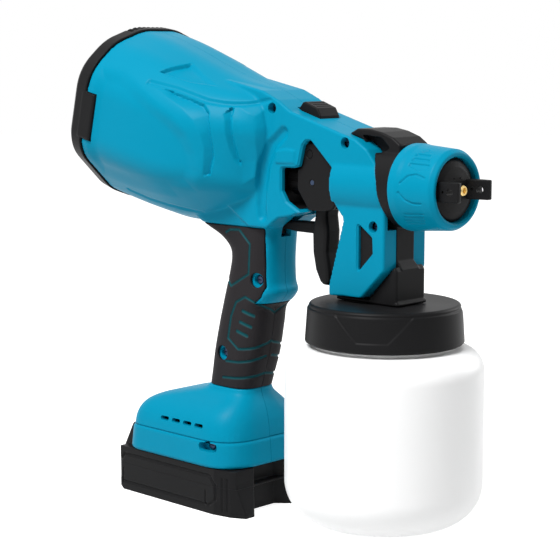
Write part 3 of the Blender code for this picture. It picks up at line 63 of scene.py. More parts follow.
# The housing's axis dips forward by TILT from the middle of its rear edge
TILT = math.radians(13.6)
FORWARD = Vector((math.cos(TILT), 0, -math.sin(TILT)))
UPWARD = Vector((math.sin(TILT), 0, math.cos(TILT)))
REAR = Vector((-70.5, 0, 260)) * MM
BARREL_HALF_WIDTH = 57 * MM
BARREL_TOP = 60 * MM
BARREL_BOTTOM = 59.5 * MM
BARREL_LENGTH = 142 * MM
WALL = 3 * MM
CAP_LENGTH = 16.5 * MM
CAP_PROUD = 1.2 * MM
NECK_HALF_WIDTH = 20 * MM
NECK_INSIDE = 16.5 * MM
FRAME_INSIDE = 8.3 * MM
NOZZLE_Z = 223.8 * MM
GRIP_THICKNESS = 2.3 * MM
JAR_X = 150 * MM

# Share of the length, then share of the half width, the top and the bottom
BARREL_STATIONS = [
    (0, 1, 1, 1), (0.16, 0.998, 0.988, 0.993), (0.32, 0.985, 0.952, 0.975), (0.48, 0.95, 0.903, 0.935),
    (0.6, 0.895, 0.868, 0.845), (0.7, 0.82, 0.852, 0.73), (0.79, 0.715, 0.85, 0.625),
    (0.87, 0.585, 0.845, 0.555), (0.94, 0.425, 0.81, 0.51), (1, 0.26, 0.71, 0.46),
]
# One side of the section from top to bottom: share of half width, of top (+) or bottom (-), radius
BARREL_CORNERS = [
    (0.25, 1.0, 34), (0.67, 0.85, 34), (1.0, 0.52, 34), (1.0, -0.38, 28), (0.4, -0.87, 30), (0.0, -1.0, 22),
]


# ---- mesh helpers

def mm(points):
    """Rows of millimetres as metres."""
    return [tuple(c * MM for c in p) for p in points]


def add(name, mesh):
    obj = bpy.data.objects.new(name, mesh)
    bpy.context.scene.collection.objects.link(obj)
    return obj


def drop(*objects):
    for obj in objects:
        mesh = obj.data
        bpy.data.objects.remove(obj, do_unlink=True)
        if isinstance(mesh, bpy.types.Mesh) and mesh.users == 0:
            bpy.data.meshes.remove(mesh)


def face_outward(bm):
    bmesh.ops.recalc_face_normals(bm, faces=bm.faces)
    if bm.calc_volume(signed=True) < 0:
        bmesh.ops.reverse_faces(bm, faces=bm.faces)


def from_bmesh(name, bm):
    face_outward(bm)
    mesh = bpy.data.meshes.new(name)
    bm.to_mesh(mesh)
    bm.free()
    return add(name, mesh)


def baked(obj):
    """Replaces an object's mesh with what its modifiers make of it."""
    graph = bpy.context.evaluated_depsgraph_get()
    mesh = bpy.data.meshes.new_from_object(obj.evaluated_get(graph))
    obj.modifiers.clear()
    obj.data = mesh
    return obj


def boolean(obj, other, operation, solver="MANIFOLD"):
    step = obj.modifiers.new(operation.lower(), "BOOLEAN")
    step.operation = operation
    step.solver = solver
    step.object = other
    baked(obj)
    drop(other)
    return obj


def cut(obj, *cutters):
    for other in cutters:
        boolean(obj, other, "DIFFERENCE")
    return obj


def join(obj, *others):
    for other in others:
        boolean(obj, other, "UNION")
    return obj


def together(*parts):
    """Several closed meshes in one object, for remeshed() to fuse."""
    bm = bmesh.new()
    for obj in parts:
        bm.from_mesh(obj.data)
        drop(obj)
    return from_bmesh("together", bm)


def remeshed(obj, voxel, rounds, factor=0.5):
    """One skin of small even faces, with its edges rounded by the smoothing."""
    step = obj.modifiers.new("remesh", "REMESH")
    step.mode = "VOXEL"
    step.voxel_size = voxel * FINE
    if rounds:
        smooth = obj.modifiers.new("smooth", "SMOOTH")
        smooth.factor = factor
        smooth.iterations = rounds
    return baked(obj)


def bevelled(obj, width, segments=3, angle_deg=40):
    step = obj.modifiers.new("bevel", "BEVEL")
    step.width = width
    step.segments = segments
    step.limit_method = "ANGLE"
    step.angle_limit = math.radians(angle_deg)
    return baked(obj)


def block(low, high):
    """A block between two corners, in mm."""
    low, high = zip(*(sorted(pair) for pair in zip(*mm([low, high]))))
    bm = bmesh.new()
    bmesh.ops.create_cube(bm, size=1)
    bmesh.ops.scale(bm, vec=[h - l for l, h in zip(low, high)], verts=bm.verts)
    bmesh.ops.translate(bm, vec=[(h + l) / 2 for l, h in zip(low, high)], verts=bm.verts)
    return from_bmesh("block", bm)


def rod(start, end, radius, steps=32):
    start = Vector(start)
    end = Vector(end)
    bm = bmesh.new()
    bmesh.ops.create_cone(
        bm, cap_ends=True, segments=steps, radius1=radius, radius2=radius, depth=(end - start).length,
    )
    turn = (end - start).to_track_quat("Z", "Y").to_matrix().to_4x4()
    bm.transform(Matrix.Translation((start + end) / 2) @ turn)
    return from_bmesh("rod", bm)


def loft(rings):
    """A closed skin through rings that have the same number of points."""
    bm = bmesh.new()
    rows = [[bm.verts.new(p) for p in ring] for ring in rings]
    count = len(rows[0])
    for a, b in zip(rows, rows[1:]):
        for i in range(count):
            j = (i + 1) % count
            bm.faces.new((a[i], a[j], b[j], b[i]))
    bm.faces.new(rows[0])
    bm.faces.new(rows[-1])
    bmesh.ops.triangulate(bm, faces=bm.faces)
    return from_bmesh("loft", bm)


def prism(outline, low, high, across="Y", flare=0.0, inset=0.0):
    """A flat outline between two planes. With flare, it widens by that much toward both ends."""
    def ring(points, at):
        if across == "Y":
            return [(x, at, z) for x, z in points]
        if across == "Z":
            return [(x, y, at) for x, y in points]
        return [(at, y, z) for y, z in points]
    low, high = sorted((low, high))
    if not flare:
        return loft([ring(outline, low), ring(outline, high)])
    wide = offset_outline(outline, flare)
    return loft([
        ring(wide, low - flare), ring(wide, low + inset), ring(outline, low + inset + flare),
        ring(outline, high - inset - flare), ring(wide, high - inset), ring(wide, high + flare),
    ])


def offset_outline(points, distance):
    """The outline moved outward by distance, corner by corner (it runs either way round)."""
    area = sum(a[0] * b[1] - b[0] * a[1] for a, b in zip(points, points[1:] + points[:1]))
    side = 1 if area > 0 else -1
    moved = []
    for i, here in enumerate(points):
        before = Vector(here) - Vector(points[i - 1])
        after = Vector(points[(i + 1) % len(points)]) - Vector(here)
        n1 = Vector((before.y, -before.x)).normalized() * side
        n2 = Vector((after.y, -after.x)).normalized() * side
        mitre = (n1 + n2).normalized()
        moved.append(tuple(Vector(here) + mitre * distance / max(mitre.dot(n1), 0.4)))
    return moved


def turned(profile, base=(0, 0, 0), along=(0, 0, 1), steps=128):
    """A lathe shape from (radius, height) points, closed on itself or at the axis."""
    bm = bmesh.new()
    turn = Matrix.Translation(base) @ Vector(along).to_track_quat("Z", "Y").to_matrix().to_4x4()
    rows = []
    for radius, height in profile:
        if radius < 1e-7:
            rows.append([bm.verts.new(turn @ Vector((0, 0, height)))])
            continue
        ring = []
        for k in range(steps):
            angle = 2 * math.pi * k / steps
            point = Vector((radius * math.cos(angle), radius * math.sin(angle), height))
            ring.append(bm.verts.new(turn @ point))
        rows.append(ring)
    closed = len(rows[0]) > 1 and len(rows[-1]) > 1
    pairs = list(zip(rows, rows[1:])) + ([(rows[-1], rows[0])] if closed else [])
    for a, b in pairs:
        for k in range(steps):
            j = (k + 1) % steps
            corners = [a[k % len(a)], a[j % len(a)], b[j % len(b)], b[k % len(b)]]
            corners = [c for i, c in enumerate(corners) if c not in corners[:i]]
            if len(corners) > 2:
                bm.faces.new(corners)
    return from_bmesh("turned", bm)


def rounded(corners, radii, steps, closed=True):
    """An outline whose corners are arcs. A radius shrinks where its sides are short."""
    points = []
    count = len(corners)
    for i, corner in enumerate(corners):
        here = Vector(corner)
        if not closed and i in (0, count - 1):
            points.append(tuple(here))
            continue
        back = Vector(corners[i - 1]) - here
        ahead = Vector(corners[(i + 1) % count]) - here
        radius = radii[i] if isinstance(radii, (list, tuple)) else radii
        reach = radius * math.tan((math.pi - back.angle(ahead)) / 2)
        reach = min(reach, 0.48 * back.length, 0.48 * ahead.length)
        start = here + back.normalized() * reach
        end = here + ahead.normalized() * reach
        for k in range(steps + 1):
            t = k / steps
            points.append(tuple(start * (1 - t) ** 2 + here * 2 * t * (1 - t) + end * t ** 2))
    return points


def smooth_between(stations, at):
    """A row of sizes on a smooth curve through the stations. Each starts with its place."""
    if at <= stations[0][0]:
        return stations[0][1:]
    if at >= stations[-1][0]:
        return stations[-1][1:]
    k = next(i for i in range(len(stations) - 1) if at <= stations[i + 1][0])
    a, b = stations[k], stations[k + 1]
    before = stations[max(k - 1, 0)]
    after = stations[min(k + 2, len(stations) - 1)]
    step = b[0] - a[0]
    t = (at - a[0]) / step
    made = []
    for p0, p1, p2, p3 in zip(before[1:], a[1:], b[1:], after[1:]):
        m1 = (p2 - p0) / (b[0] - before[0]) * step
        m2 = (p3 - p1) / (after[0] - a[0]) * step
        made.append(
            p1 * (2 * t ** 3 - 3 * t ** 2 + 1) + m1 * (t ** 3 - 2 * t ** 2 + t)
            + p2 * (3 * t ** 2 - 2 * t ** 3) + m2 * (t ** 3 - t ** 2)
        )
    return made


def steps_between(start, end, count):
    return [start + (end - start) * i / count for i in range(count + 1)]


# ---- sections shared with the CAD

def on_axis(forward, side=0, up=0):
    return REAR + FORWARD * forward + Vector((0, side, 0)) + UPWARD * up


def barrel_section(forward, inset=0.0, steps=9):
    """The housing's section. Behind its rear edge the rear section is carried straight on."""
    wide, top, bottom = smooth_between(BARREL_STATIONS, max(forward, 0) / BARREL_LENGTH)
    half = BARREL_HALF_WIDTH * wide - inset
    high = BARREL_TOP * top - inset
    low = BARREL_BOTTOM * bottom - inset
    side = [(half * y, high * v if v > 0 else low * v, r) for y, v, r in BARREL_CORNERS]
    corners = side + [(-y, v, r) for y, v, r in side[-2::-1]]
    shrink = max(half / BARREL_HALF_WIDTH, 0.5) * MM
    outline = rounded([c[:2] for c in corners], [c[2] * shrink for c in corners], steps)
    return [on_axis(forward, y, v) for y, v in outline]


HANDLE_STATIONS = mm([
    (74, 2.0, 40.0, 16.6), (90, 5.6, 45.0, 17.0), (106, 8.8, 50.0, 17.4), (127, 14.1, 54.0, 17.6),
    (138, 17.2, 56.2, 17.6), (143, 18.6, 62.0, 17.6), (149, 20.4, 66.5, 17.6), (154, 21.8, 65.0, 17.5),
    (160, 23.4, 64.4, 17.4), (170, 25.4, 64.2, 17.4), (177, 23.6, 64.6, 17.4), (184, 15.0, 65.2, 17.4),
    (190, 1.0, 66.0, 17.4), (196, -10.0, 69.0, 18.0), (206, -14.0, 74.0, 18.5),
])
BASE_STATIONS = mm([
    (31.3, -52.0, 50.6, 38.3, 26), (33.0, -53.0, 51.6, 39.3, 27), (48.0, -50.8, 50.8, 39.3, 27),
    (49.5, -50.0, 50.0, 38.6, 26), (55.0, -49.4, 49.6, 37.8, 26), (61.0, -47.2, 48.8, 36.0, 25),
    (66.5, -42.5, 47.4, 32.6, 23), (71.0, -33.0, 45.8, 27.8, 20), (75.0, -17.0, 44.0, 22.2, 16),
    (78.4, -2.0, 42.6, 18.2, 14), (81.7, 3.3, 42.2, 17.1, 14),
])
HANDLE_CORNER = 14 * MM


def plan_section(height, rear, front, half, rear_radius, front_radius, steps=10):
    """A rectangle with rounded corners at one height."""
    corners = [(rear, -half), (front, -half), (front, half), (rear, half)]
    outline = rounded(corners, [rear_radius, front_radius, front_radius, rear_radius], steps)
    return [(x, y, height) for x, y in outline]


def handle_solid(low, high, inset=0.0):
    """The handle between two heights, thinner all round by inset."""
    rings = []
    for z in steps_between(low, high, 60):
        rear, front, half = smooth_between(HANDLE_STATIONS, z)
        corner = HANDLE_CORNER - inset
        rings.append(plan_section(z, rear + inset, front - inset, half - inset, corner, corner))
    return loft(rings)


def base_solid():
    """A straight band and, above its seam, a dome that closes in to the handle."""
    band = loft([plan_section(z, *sizes[:3], 14 * MM, sizes[3]) for z, *sizes in BASE_STATIONS[:3]])
    rings = []
    for z in steps_between(BASE_STATIONS[2][0] - 2 * MM, BASE_STATIONS[-1][0], 30):
        rear, front, half, radius = smooth_between(BASE_STATIONS[3:], z)
        rings.append(plan_section(z, rear, front, half, 14 * MM, radius))
    return join(band, loft(rings))


def blue_zone(gap):
    """The part of the handle that no grip covers, grown by gap."""
    outline = mm([
        (-40, 191.3), (60.8, 191.3), (60.2, 175), (60.6, 158), (61, 152), (58, 146), (52.5, 141.4),
        (90, 141.4), (90, 230), (-40, 230),
    ])
    return prism(offset_outline(outline, gap) if gap else outline, -60 * MM, 60 * MM)


def to_axis_coordinates(points):
    """Distance forward, to the side and up from the housing's axis, for rows of points, in mm."""
    local = (points - np.array(REAR)) / MM
    forward = local @ np.array(FORWARD)
    up = local @ np.array(UPWARD)
    return forward, local[:, 1], up


def vertices(obj):
    co = np.empty(len(obj.data.vertices) * 3, np.float32)
    obj.data.vertices.foreach_get("co", co)
    return co.reshape(-1, 3).astype(float)


def normals(obj):
    made = np.empty(len(obj.data.vertices) * 3, np.float32)
    obj.data.vertex_normals.foreach_get("vector", made)
    return made.reshape(-1, 3).astype(float)


def push(obj, amount):
    """Moves every vertex along its normal by its own amount."""
    co = vertices(obj) + normals(obj) * amount[:, None]
    obj.data.vertices.foreach_set("co", co.astype(np.float32).ravel())
    obj.data.update()
    return obj


def ramp(value, low, high):
    """0 below low, 1 above high and a smooth rise between."""
    t = np.clip((value - low) / (high - low), 0, 1)
    return t * t * (3 - 2 * t)


def distance_to_line(x, y, line):
    """Distance of points to a broken line, all in mm."""
    best = np.full(x.shape, 1e9)
    for (ax, ay), (bx, by) in zip(line, line[1:]):
        dx, dy = bx - ax, by - ay
        t = np.clip(((x - ax) * dx + (y - ay) * dy) / (dx * dx + dy * dy), 0, 1)
        best = np.minimum(best, np.hypot(x - ax - t * dx, y - ay - t * dy))
    return best


def inside(x, y, outline):
    """Whether points lie inside a closed outline."""
    found = np.zeros(x.shape, bool)
    for (ax, ay), (bx, by) in zip(outline, outline[1:] + outline[:1]):
        crosses = (ay > y) != (by > y)
        with np.errstate(divide="ignore", invalid="ignore"):
            found ^= crosses & (x < (bx - ax) * (y - ay) / (by - ay) + ax)
    return found


def depth_in(x, y, outline):
    """Distance inside a closed outline, and minus the distance outside it."""
    away = distance_to_line(x, y, outline + outline[:1])
    return np.where(inside(x, y, outline), away, -away)


# ---- materials

def shader_node(tree, kind, **values):
    """A new shader node with some of its inputs set."""
    made = tree.nodes.new("ShaderNode" + kind)
    for name, value in values.items():
        made.inputs[name.replace("_", " ")].default_value = value
    return made


def moulded(name, colour, roughness, grain=0.05, grain_size=0.5, variation=0.04, specular=0.5):
    """Moulded plastic with a fine grain (depth and size in mm), uneven gloss and mottled colour."""
    made = bpy.data.materials.new(name)
    made.use_nodes = True
    tree = made.node_tree
    link = tree.links.new
    shader = tree.nodes["Principled BSDF"]
    shader.inputs["Roughness"].default_value = roughness
    shader.inputs["Specular IOR Level"].default_value = specular
    place = shader_node(tree, "TexCoord")
    mottle = shader_node(tree, "TexNoise", Scale=28, Detail=4)
    link(place.outputs["Object"], mottle.inputs["Vector"])
    tint = shader_node(tree, "Mix")
    tint.data_type = "RGBA"
    tint.inputs[6].default_value = [c * (1 - variation) for c in colour] + [1]
    tint.inputs[7].default_value = [min(1, c * (1 + variation)) for c in colour] + [1]
    link(mottle.outputs["Fac"], tint.inputs["Factor"])
    link(tint.outputs[2], shader.inputs["Base Color"])
    gloss = shader_node(tree, "MapRange", To_Min=roughness - 0.05, To_Max=roughness + 0.05)
    link(mottle.outputs["Fac"], gloss.inputs["Value"])
    link(gloss.outputs["Result"], shader.inputs["Roughness"])
    fine = shader_node(tree, "TexNoise", Scale=1 / (grain_size * MM), Detail=2)
    link(place.outputs["Object"], fine.inputs["Vector"])
    bump = shader_node(tree, "Bump", Strength=0.5, Distance=grain * MM)
    link(fine.outputs["Fac"], bump.inputs["Height"])
    link(bump.outputs["Normal"], shader.inputs["Normal"])
    return made


def metal(name, colour, roughness):
    """Machined metal: a very fine grain and a slight mottling of its colour and gloss."""
    made = moulded(name, colour, roughness, grain=0.02, grain_size=0.35, variation=0.08)
    made.node_tree.nodes["Principled BSDF"].inputs["Metallic"].default_value = 1
    return made


def rubber(name, colour, groove_and_rib_highlight_colour):
    """Matt rubber over hard plastic, which shows in the grooves marked by the attribute line; the same tint
    on the ribs is a painted highlight.
    """
    made = moulded(name, colour, 0.6, grain=0.09, grain_size=0.7, variation=0.15, specular=0.12)
    tree = made.node_tree
    link = tree.links.new
    shader = tree.nodes["Principled BSDF"]
    base = shader.inputs["Base Color"].links[0].from_socket
    line = shader_node(tree, "Attribute")
    line.attribute_name = "line"
    tint = shader_node(tree, "Mix")
    tint.data_type = "RGBA"
    tint.inputs[7].default_value = (*groove_and_rib_highlight_colour, 1)
    link(line.outputs["Fac"], tint.inputs["Factor"])
    link(base, tint.inputs[6])
    link(tint.outputs[2], shader.inputs["Base Color"])
    return made


def milky(name, colour):
    """The jar's translucent white plastic."""
    made = moulded(name, colour, 0.38, grain=0.03, grain_size=0.8, variation=0.01)
    shader = made.node_tree.nodes["Principled BSDF"]
    shader.inputs["Subsurface Weight"].default_value = 0.35
    shader.inputs["Subsurface Radius"].default_value = (0.02, 0.02, 0.02)
    shader.inputs["Subsurface Scale"].default_value = 0.3
    return made


LOOKS = {
    "blue_plastic": moulded(
        "blue_plastic", (0.0, 0.215, 0.345), 0.4, grain=0.02, grain_size=0.45, variation=0.03, specular=0.05,
    ),
    "black_plastic": moulded("black_plastic", (0.008, 0.008, 0.0085), 0.42, variation=0.15, specular=0.07),
    # The second colour tints the grooves, where hard plastic shows, and the ribs, where it is a painted
    # highlight
    "rubber": rubber("rubber", (0.0125, 0.011, 0.0125), (0.0, 0.055, 0.066)),
    "jar_plastic": milky("jar_plastic", (0.955, 0.96, 0.96)),
    "steel": metal("steel", (0.62, 0.62, 0.63), 0.28),
    "dark_steel": metal("dark_steel", (0.05, 0.07, 0.12), 0.35),
    "brass": metal("brass", (0.78, 0.56, 0.22), 0.25),
    "board": moulded("board", (0.02, 0.15, 0.06), 0.4),
    "foam": moulded("foam", (0.05, 0.05, 0.055), 0.95, grain=0.8, grain_size=1.6, variation=0.3),
    "motor_metal": metal("motor_metal", (0.5, 0.5, 0.51), 0.4),
    "cell_metal": moulded("cell_metal", (0.05, 0.16, 0.4), 0.35),
}
SLOT_OF = {s["node"]: s["material_slot"] for s in frame["record"]["subparts"]}
BODY_OF = {n: b for b, members in frame["record"]["behaviour"]["bodies"].items() for n in members}


def dress(obj, slot, smooth_deg=None):
    """Gives obj a slot's material and smooth shading, with edges sharper than smooth_deg kept."""
    obj.data.materials.clear()
    obj.data.materials.append(LOOKS[slot])
    obj.data.shade_smooth()
    if smooth_deg:
        obj.data.set_sharp_from_angle(angle=math.radians(smooth_deg))


def stands_for(obj, node, smooth_deg=None):
    """obj shows in place of a CAD node, rides its body and takes its finish."""
    obj.name = node + "_fine"
    obj.data.name = obj.name
    dress(obj, SLOT_OF[node], smooth_deg)
    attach(obj, BODY_OF[node])
    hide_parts(node)
    return obj


def copy_of(node):
    return add(node + "_copy", NODES[node].data.copy())


# ---- housing

NECK_OUTLINE = mm([
    (18, 250), (30, 286.5), (63.3, 279.8), (76.6, 274.2), (87.9, 267.4), (113.5, 260.0), (142.3, 251.8),
    (151.2, 246.2), (158.4, 237.6), (162.5, 227.5), (163.6, 219), (165.6, 208), (165.6, 173.5),
    (148.1, 155.8), (120.8, 154.8), (120.8, 160.4), (133.6, 163), (137.9, 178), (137.9, 203),
    (133.5, 205), (98, 205), (88, 201.5), (77, 199.5), (66, 192), (50, 192), (30, 205),
])
FRONT_LIMIT = mm([
    (60, 300), (142.3, 300), (142.3, 251.8), (151.2, 246.2), (158.4, 237.6), (162.5, 227.5),
    (163.6, 219), (165.6, 208), (165.6, 150), (60, 150),
])
WINDOW_OUTLINE = mm([
    (105, 249.8), (101.5, 249.6), (98.3, 246.4), (94.9, 233.5), (91, 232.1), (79.9, 232), (79.9, 217),
    (84.2, 210.5), (94.1, 205.5), (98, 203), (99, 198), (131, 198), (132.1, 203.6), (126, 210.6),
    (122.9, 220.2), (124.5, 231.9),
])
FRAME_WINDOW = mm([(144.8, 200.9), (155.7, 193.2), (156.2, 183.5), (144.7, 171.5)])
NECK_CAVITY = mm([
    (71, 207), (71, 236), (77, 248), (84, 251), (106, 251), (112, 255.4), (140, 247.5), (148, 242.5),
    (155, 236), (180, 236), (180, 198), (141.5, 198), (141.5, 205), (134, 208),
    (134, 190), (99, 190), (96, 206), (84, 204.8),
])
# Place along x, height, and half the width of what the screw goes through, in mm
SCREWS = {
    "neck_rear": (72.2, 269, 20), "neck_front": (134.2, 249.5, 20), "frame": (157.2, 200, 20),
    "handle_upper": (54.5, 157, 17.2), "handle_lower": (22.5, 105, 17), "base": (30, 46, 37.8),
}
SCREW_BORE = 1.9 * MM
SCREW_SEAT = 3.5 * MM
SCREW_OVAL = mm([(22.6, 42.4), (37.4, 42.4), (37.4, 48.2), (22.6, 48.2)])
SCREW_OVAL_DEPTH = 4.2
VENTS = 4
VENT_START = -17.5
VENT_PITCH = 11.2
VENT_LENGTH = 8
VENT_LOW_Z = 56.4
VENT_HIGH_Z = 59.2


def housing_outside():
    """The outer form as one smooth skin."""
    places = steps_between(0, BARREL_LENGTH, 50)
    form = loft([barrel_section(p) for p in places])
    neck = bevelled(prism(NECK_OUTLINE, -NECK_HALF_WIDTH, NECK_HALF_WIDTH), 2.4 * MM, 3)
    swell = rod((124 * MM, 0, NOZZLE_Z), (170 * MM, 0, NOZZLE_Z), 23.6 * MM, steps=96)
    boolean(swell, prism(FRONT_LIMIT, -60 * MM, 60 * MM), "INTERSECT")
    core = handle_solid(79 * MM, 206 * MM, GRIP_THICKNESS)
    strip = boolean(handle_solid(79 * MM, 206 * MM), blue_zone(0), "INTERSECT")
    join(form, neck, swell, core, strip, base_solid())
    return remeshed(form, 0.8 * MM, 5)


# Styling of the barrel's sides, as (forward, up) on the housing's axis, in mm
SIDE_PANEL = [
    (4, 38), (26, 40.7), (42, 36.5), (58.6, 30.3), (69, 27.5), (79.9, 23.9), (94, 15.8), (102.7, 4.8),
    (107, -8), (101, -24), (82, -34), (40, -40), (4, -42),
]
CRESCENT_REAR = [
    (53.3, 36.2), (68.8, 32.9), (84.5, 29.1), (95.1, 24.0), (102.1, 16.6), (105.9, 8.3), (107, 0),
    (107.5, -10),
]
CRESCENT_FRONT = [
    (112.5, -8), (113, 4.8), (111, 12.3), (107.6, 22), (102.7, 31.2), (96.5, 35), (85.1, 36.4), (71.7, 36.9),
]
SLOT_REAR = [(111.5, 31.5), (113.9, 28.8), (116.6, 21.7), (120.1, 12), (123.8, 5.1), (127.6, 1.3)]
SLOT_FRONT = [(127.1, 5.9), (123.5, 15.6), (119.9, 25.1), (114.9, 36.8), (113, 37.6)]
SCOOP = [(49.7, 44.1), (54.2, 48.3), (59.8, 52.6), (81.4, 47.8), (94.6, 45.4), (76, 43.6)]
BROW = [(50, 37.4), (71.7, 38.2), (96.5, 36.8), (106.9, 37.6), (113.5, 38.8), (120.2, 40.6), (133.7, 46.7)]
DOME = [
    (113.5, 39.4), (120.2, 41.6), (133.7, 47.7), (141, 30), (141, -8), (128, -12), (128.1, 5.9),
    (120.9, 25.1),
]
CHINE = [(26, -44.5), (47, -45), (70, -43), (90, -42)]
# Styling of the neck's sides, as (x, z) in mm
DOME_EDGE = [(81.8, 253.6), (72.1, 245.7), (65.9, 232.7), (63.1, 216.6), (62.2, 206.9), (63.1, 200.5)]
NECK_PAD = [(74.8, 242.6), (84.5, 244.3), (93, 243.6), (93, 234.2), (74.8, 233.8)]
# How far it all sinks or stands, in mm
PANEL_DEPTH = 2.0
CRESCENT_DEPTH = 3.2
SLOT_DEPTH = 2.8
SCOOP_DEPTH = 2.6
BROW_DEPTH = 1.1
DOME_HEIGHT = 2.3
CHINE_DEPTH = 0.8
EDGE_DEPTH = 2.4
PAD_HEIGHT = 0.9
DEEPEST = 4.9
THICKER_WALL = 2.6  # under the crescent and the slot, beyond WALL


def valley(forward, up, rear, front, crisp, deepest):
    """A face that sinks slowly from its rear edge and ends in a crisp step at its front one."""
    behind = distance_to_line(forward, up, rear)
    ahead = distance_to_line(forward, up, front)
    within = inside(forward, up, rear + front)
    return -deepest * behind / (behind + ahead + 1e-6) * ramp(ahead, 0, crisp) * within


def sculpt_barrel(form):
    """The housing's styling, the same on both sides."""
    co = vertices(form)
    forward, side, up = to_axis_coordinates(co)
    across = np.abs(side)
    on_side = ramp(across, 16, 22) * (forward > 2.5) * (forward < 141)
    amount = -PANEL_DEPTH * ramp(depth_in(forward, up, SIDE_PANEL), 0, 11)
    amount += valley(forward, up, CRESCENT_REAR, CRESCENT_FRONT, 1.3, CRESCENT_DEPTH)
    amount += valley(forward, up, SLOT_REAR, SLOT_FRONT, 1.3, SLOT_DEPTH)
    scoop = ramp(depth_in(forward, up, SCOOP), 0, 1.2)
    amount -= SCOOP_DEPTH * scoop * (1 - 0.6 * ramp(forward, 56, 92))
    amount -= BROW_DEPTH * (1 - ramp(distance_to_line(forward, up, BROW), 0.2, 2.2))
    amount += DOME_HEIGHT * ramp(depth_in(forward, up, DOME), 0, 11)
    amount -= CHINE_DEPTH * (1 - ramp(distance_to_line(forward, up, CHINE), 0.2, 1.8)) * (up < -30)
    amount = np.maximum(amount, -DEEPEST) * on_side
    x = co[:, 0] / MM
    z = co[:, 2] / MM
    on_neck = (across > 17) * (across < 27)
    amount -= EDGE_DEPTH * (1 - ramp(distance_to_line(x, z, DOME_EDGE), 1.4, 5.2)) * on_neck
    on_face = np.abs(across - NECK_HALF_WIDTH / MM) < 0.6
    amount += PAD_HEIGHT * ramp(depth_in(x, z, NECK_PAD), 0, 1.2) * on_face
    return push(form, amount * MM)


def base_rooms():
    """The hollow inside the base's dome."""
    return loft([
        plan_section(z - WALL, rear + WALL, front - WALL, half - WALL, 11 * MM, radius - WALL, 5)
        for z, rear, front, half, radius in BASE_STATIONS[3:-2]
    ])


def base_seam():
    """The shallow groove round the base above its straight band."""
    ring = block((-90, -60, 49.0), (90, 60, 49.9))
    sizes = [c * MM for c in (-49.4, 49.4, 38.0, 13.4, 25.4)]
    return cut(ring, loft([plan_section(z * MM, *sizes) for z in (48, 51)]))


def axis_block(low, high):
    """A block between two corners written as (forward, side, up) on the housing's axis, in mm."""
    made = block(low, high)
    place = Matrix((FORWARD, (0, 1, 0), UPWARD)).transposed().to_4x4()
    place.translation = REAR
    made.data.transform(place)
    return made


def housing():
    form = sculpt_barrel(housing_outside())
    places = steps_between(-5 * MM, 0.86 * BARREL_LENGTH, 30)
    cut(form, loft([barrel_section(p, WALL + THICKER_WALL * MM * ramp(p / MM, 24, 44)) for p in places]))
    cut(form, prism(NECK_CAVITY, -NECK_INSIDE, NECK_INSIDE))
    frame_room = block((110, -FRAME_INSIDE / MM, 150), (180, FRAME_INSIDE / MM, 211.7))
    lever_slot = block((83, -8, 190), (100.4, 8, 212.4))
    arm_slot = block((44, -4.5, 185.3), (100, 4.5, 213.1))
    wires = handle_solid(69.5 * MM, 186 * MM, GRIP_THICKNESS + 3.2 * MM)
    cut(form, frame_room, lever_slot, arm_slot, wires, base_rooms())
    cut(form, block((23.7, -7.3, 188.7), (45.3, 7.3, 211)))
    rounded_window = rounded(WINDOW_OUTLINE, 2.2 * MM, 4)
    cut(form, prism(rounded_window, -NECK_HALF_WIDTH, NECK_HALF_WIDTH, flare=1.1 * MM, inset=0.1 * MM))
    frame_window = rounded(FRAME_WINDOW, 1.2 * MM, 4)
    cut(form, prism(frame_window, -NECK_HALF_WIDTH, NECK_HALF_WIDTH, flare=1.0 * MM, inset=0.1 * MM))
    cut(form, block((84.1, -9.4, 254), (103.9, 9.4, 290)))
    for side in (-1, 1):
        for i in range(VENTS):
            x = VENT_START + VENT_PITCH * i
            vent = block((x, side * 24, VENT_LOW_Z), (x + VENT_LENGTH, side * 50, VENT_HIGH_Z))
            cut(form, bevelled(vent, 1.1 * MM, 3))
        cut(form, axis_block((-1, side * 49, -14.4), (9.3, side * 70, 18.4)))
        oval = rounded(SCREW_OVAL, 2.9 * MM, 6)
        cut(form, prism(oval, side * (SCREWS["base"][2] - SCREW_OVAL_DEPTH) * MM, side * 50 * MM))
    cut(form, base_seam())
    rail_low = 35.6
    cut(form, block((-80, -21.9, 30), (20.3, 21.9, rail_low + 1)))
    cut(form, block((-80.1, -25.4, rail_low), (20.4, 25.4, 41.4)))
    cut(form, block((20.3, -19.3, 33.3), (25.3, 19.3, 47.5)))
    for x, z, half in mm(SCREWS.values()):
        cut(form, rod((x, -half - 5 * MM, z), (x, 9.5 * MM, z), SCREW_BORE))
        cut(form, rod((x, -half - 5 * MM, z), (x, -half + 6.5 * MM, z), SCREW_SEAT))
    for low, high, node in ((-100, -PARTING, "shell_right"), (PARTING, 100, "shell_left")):
        piece = add("half", form.data.copy())
        boolean(piece, block((-200, low, -20), (300, high, 400)), "INTERSECT")
        stands_for(piece, node, 40)
    drop(form)


def motor_plate():
    """The plate that carries the motor, kept inside the rounder shoulders of this skin."""
    room = loft([barrel_section(p, WALL + 3.2 * MM) for p in steps_between(0, 0.9 * BARREL_LENGTH, 30)])
    stands_for(boolean(copy_of("motor_plate"), room, "INTERSECT", "EXACT"), "motor_plate", 30)


# ---- rubber grips

# Grooves as (distance along the skin from the side towards the front, z), in mm
GRIP_LINES = [
    [(27, 186.5), (30.8, 188.5), (39.2, 189.1), (49.1, 180.4), (47.9, 160.5), (31.5, 151.1), (27.5, 156)],
    [(72, 134), (67.9, 136.9), (58.7, 140.5), (44.8, 145.1), (36.4, 140.8), (31.6, 130.9), (28.5, 115.7),
     (37.7, 109.4), (53, 110.8), (66, 113.5), (72, 116)],
    [(26.3, 100), (37, 100.4), (49.1, 101.8), (64, 104.5)],
    [(22.9, 88.4), (37.8, 89.5), (54.7, 90.9), (62, 92)],
]
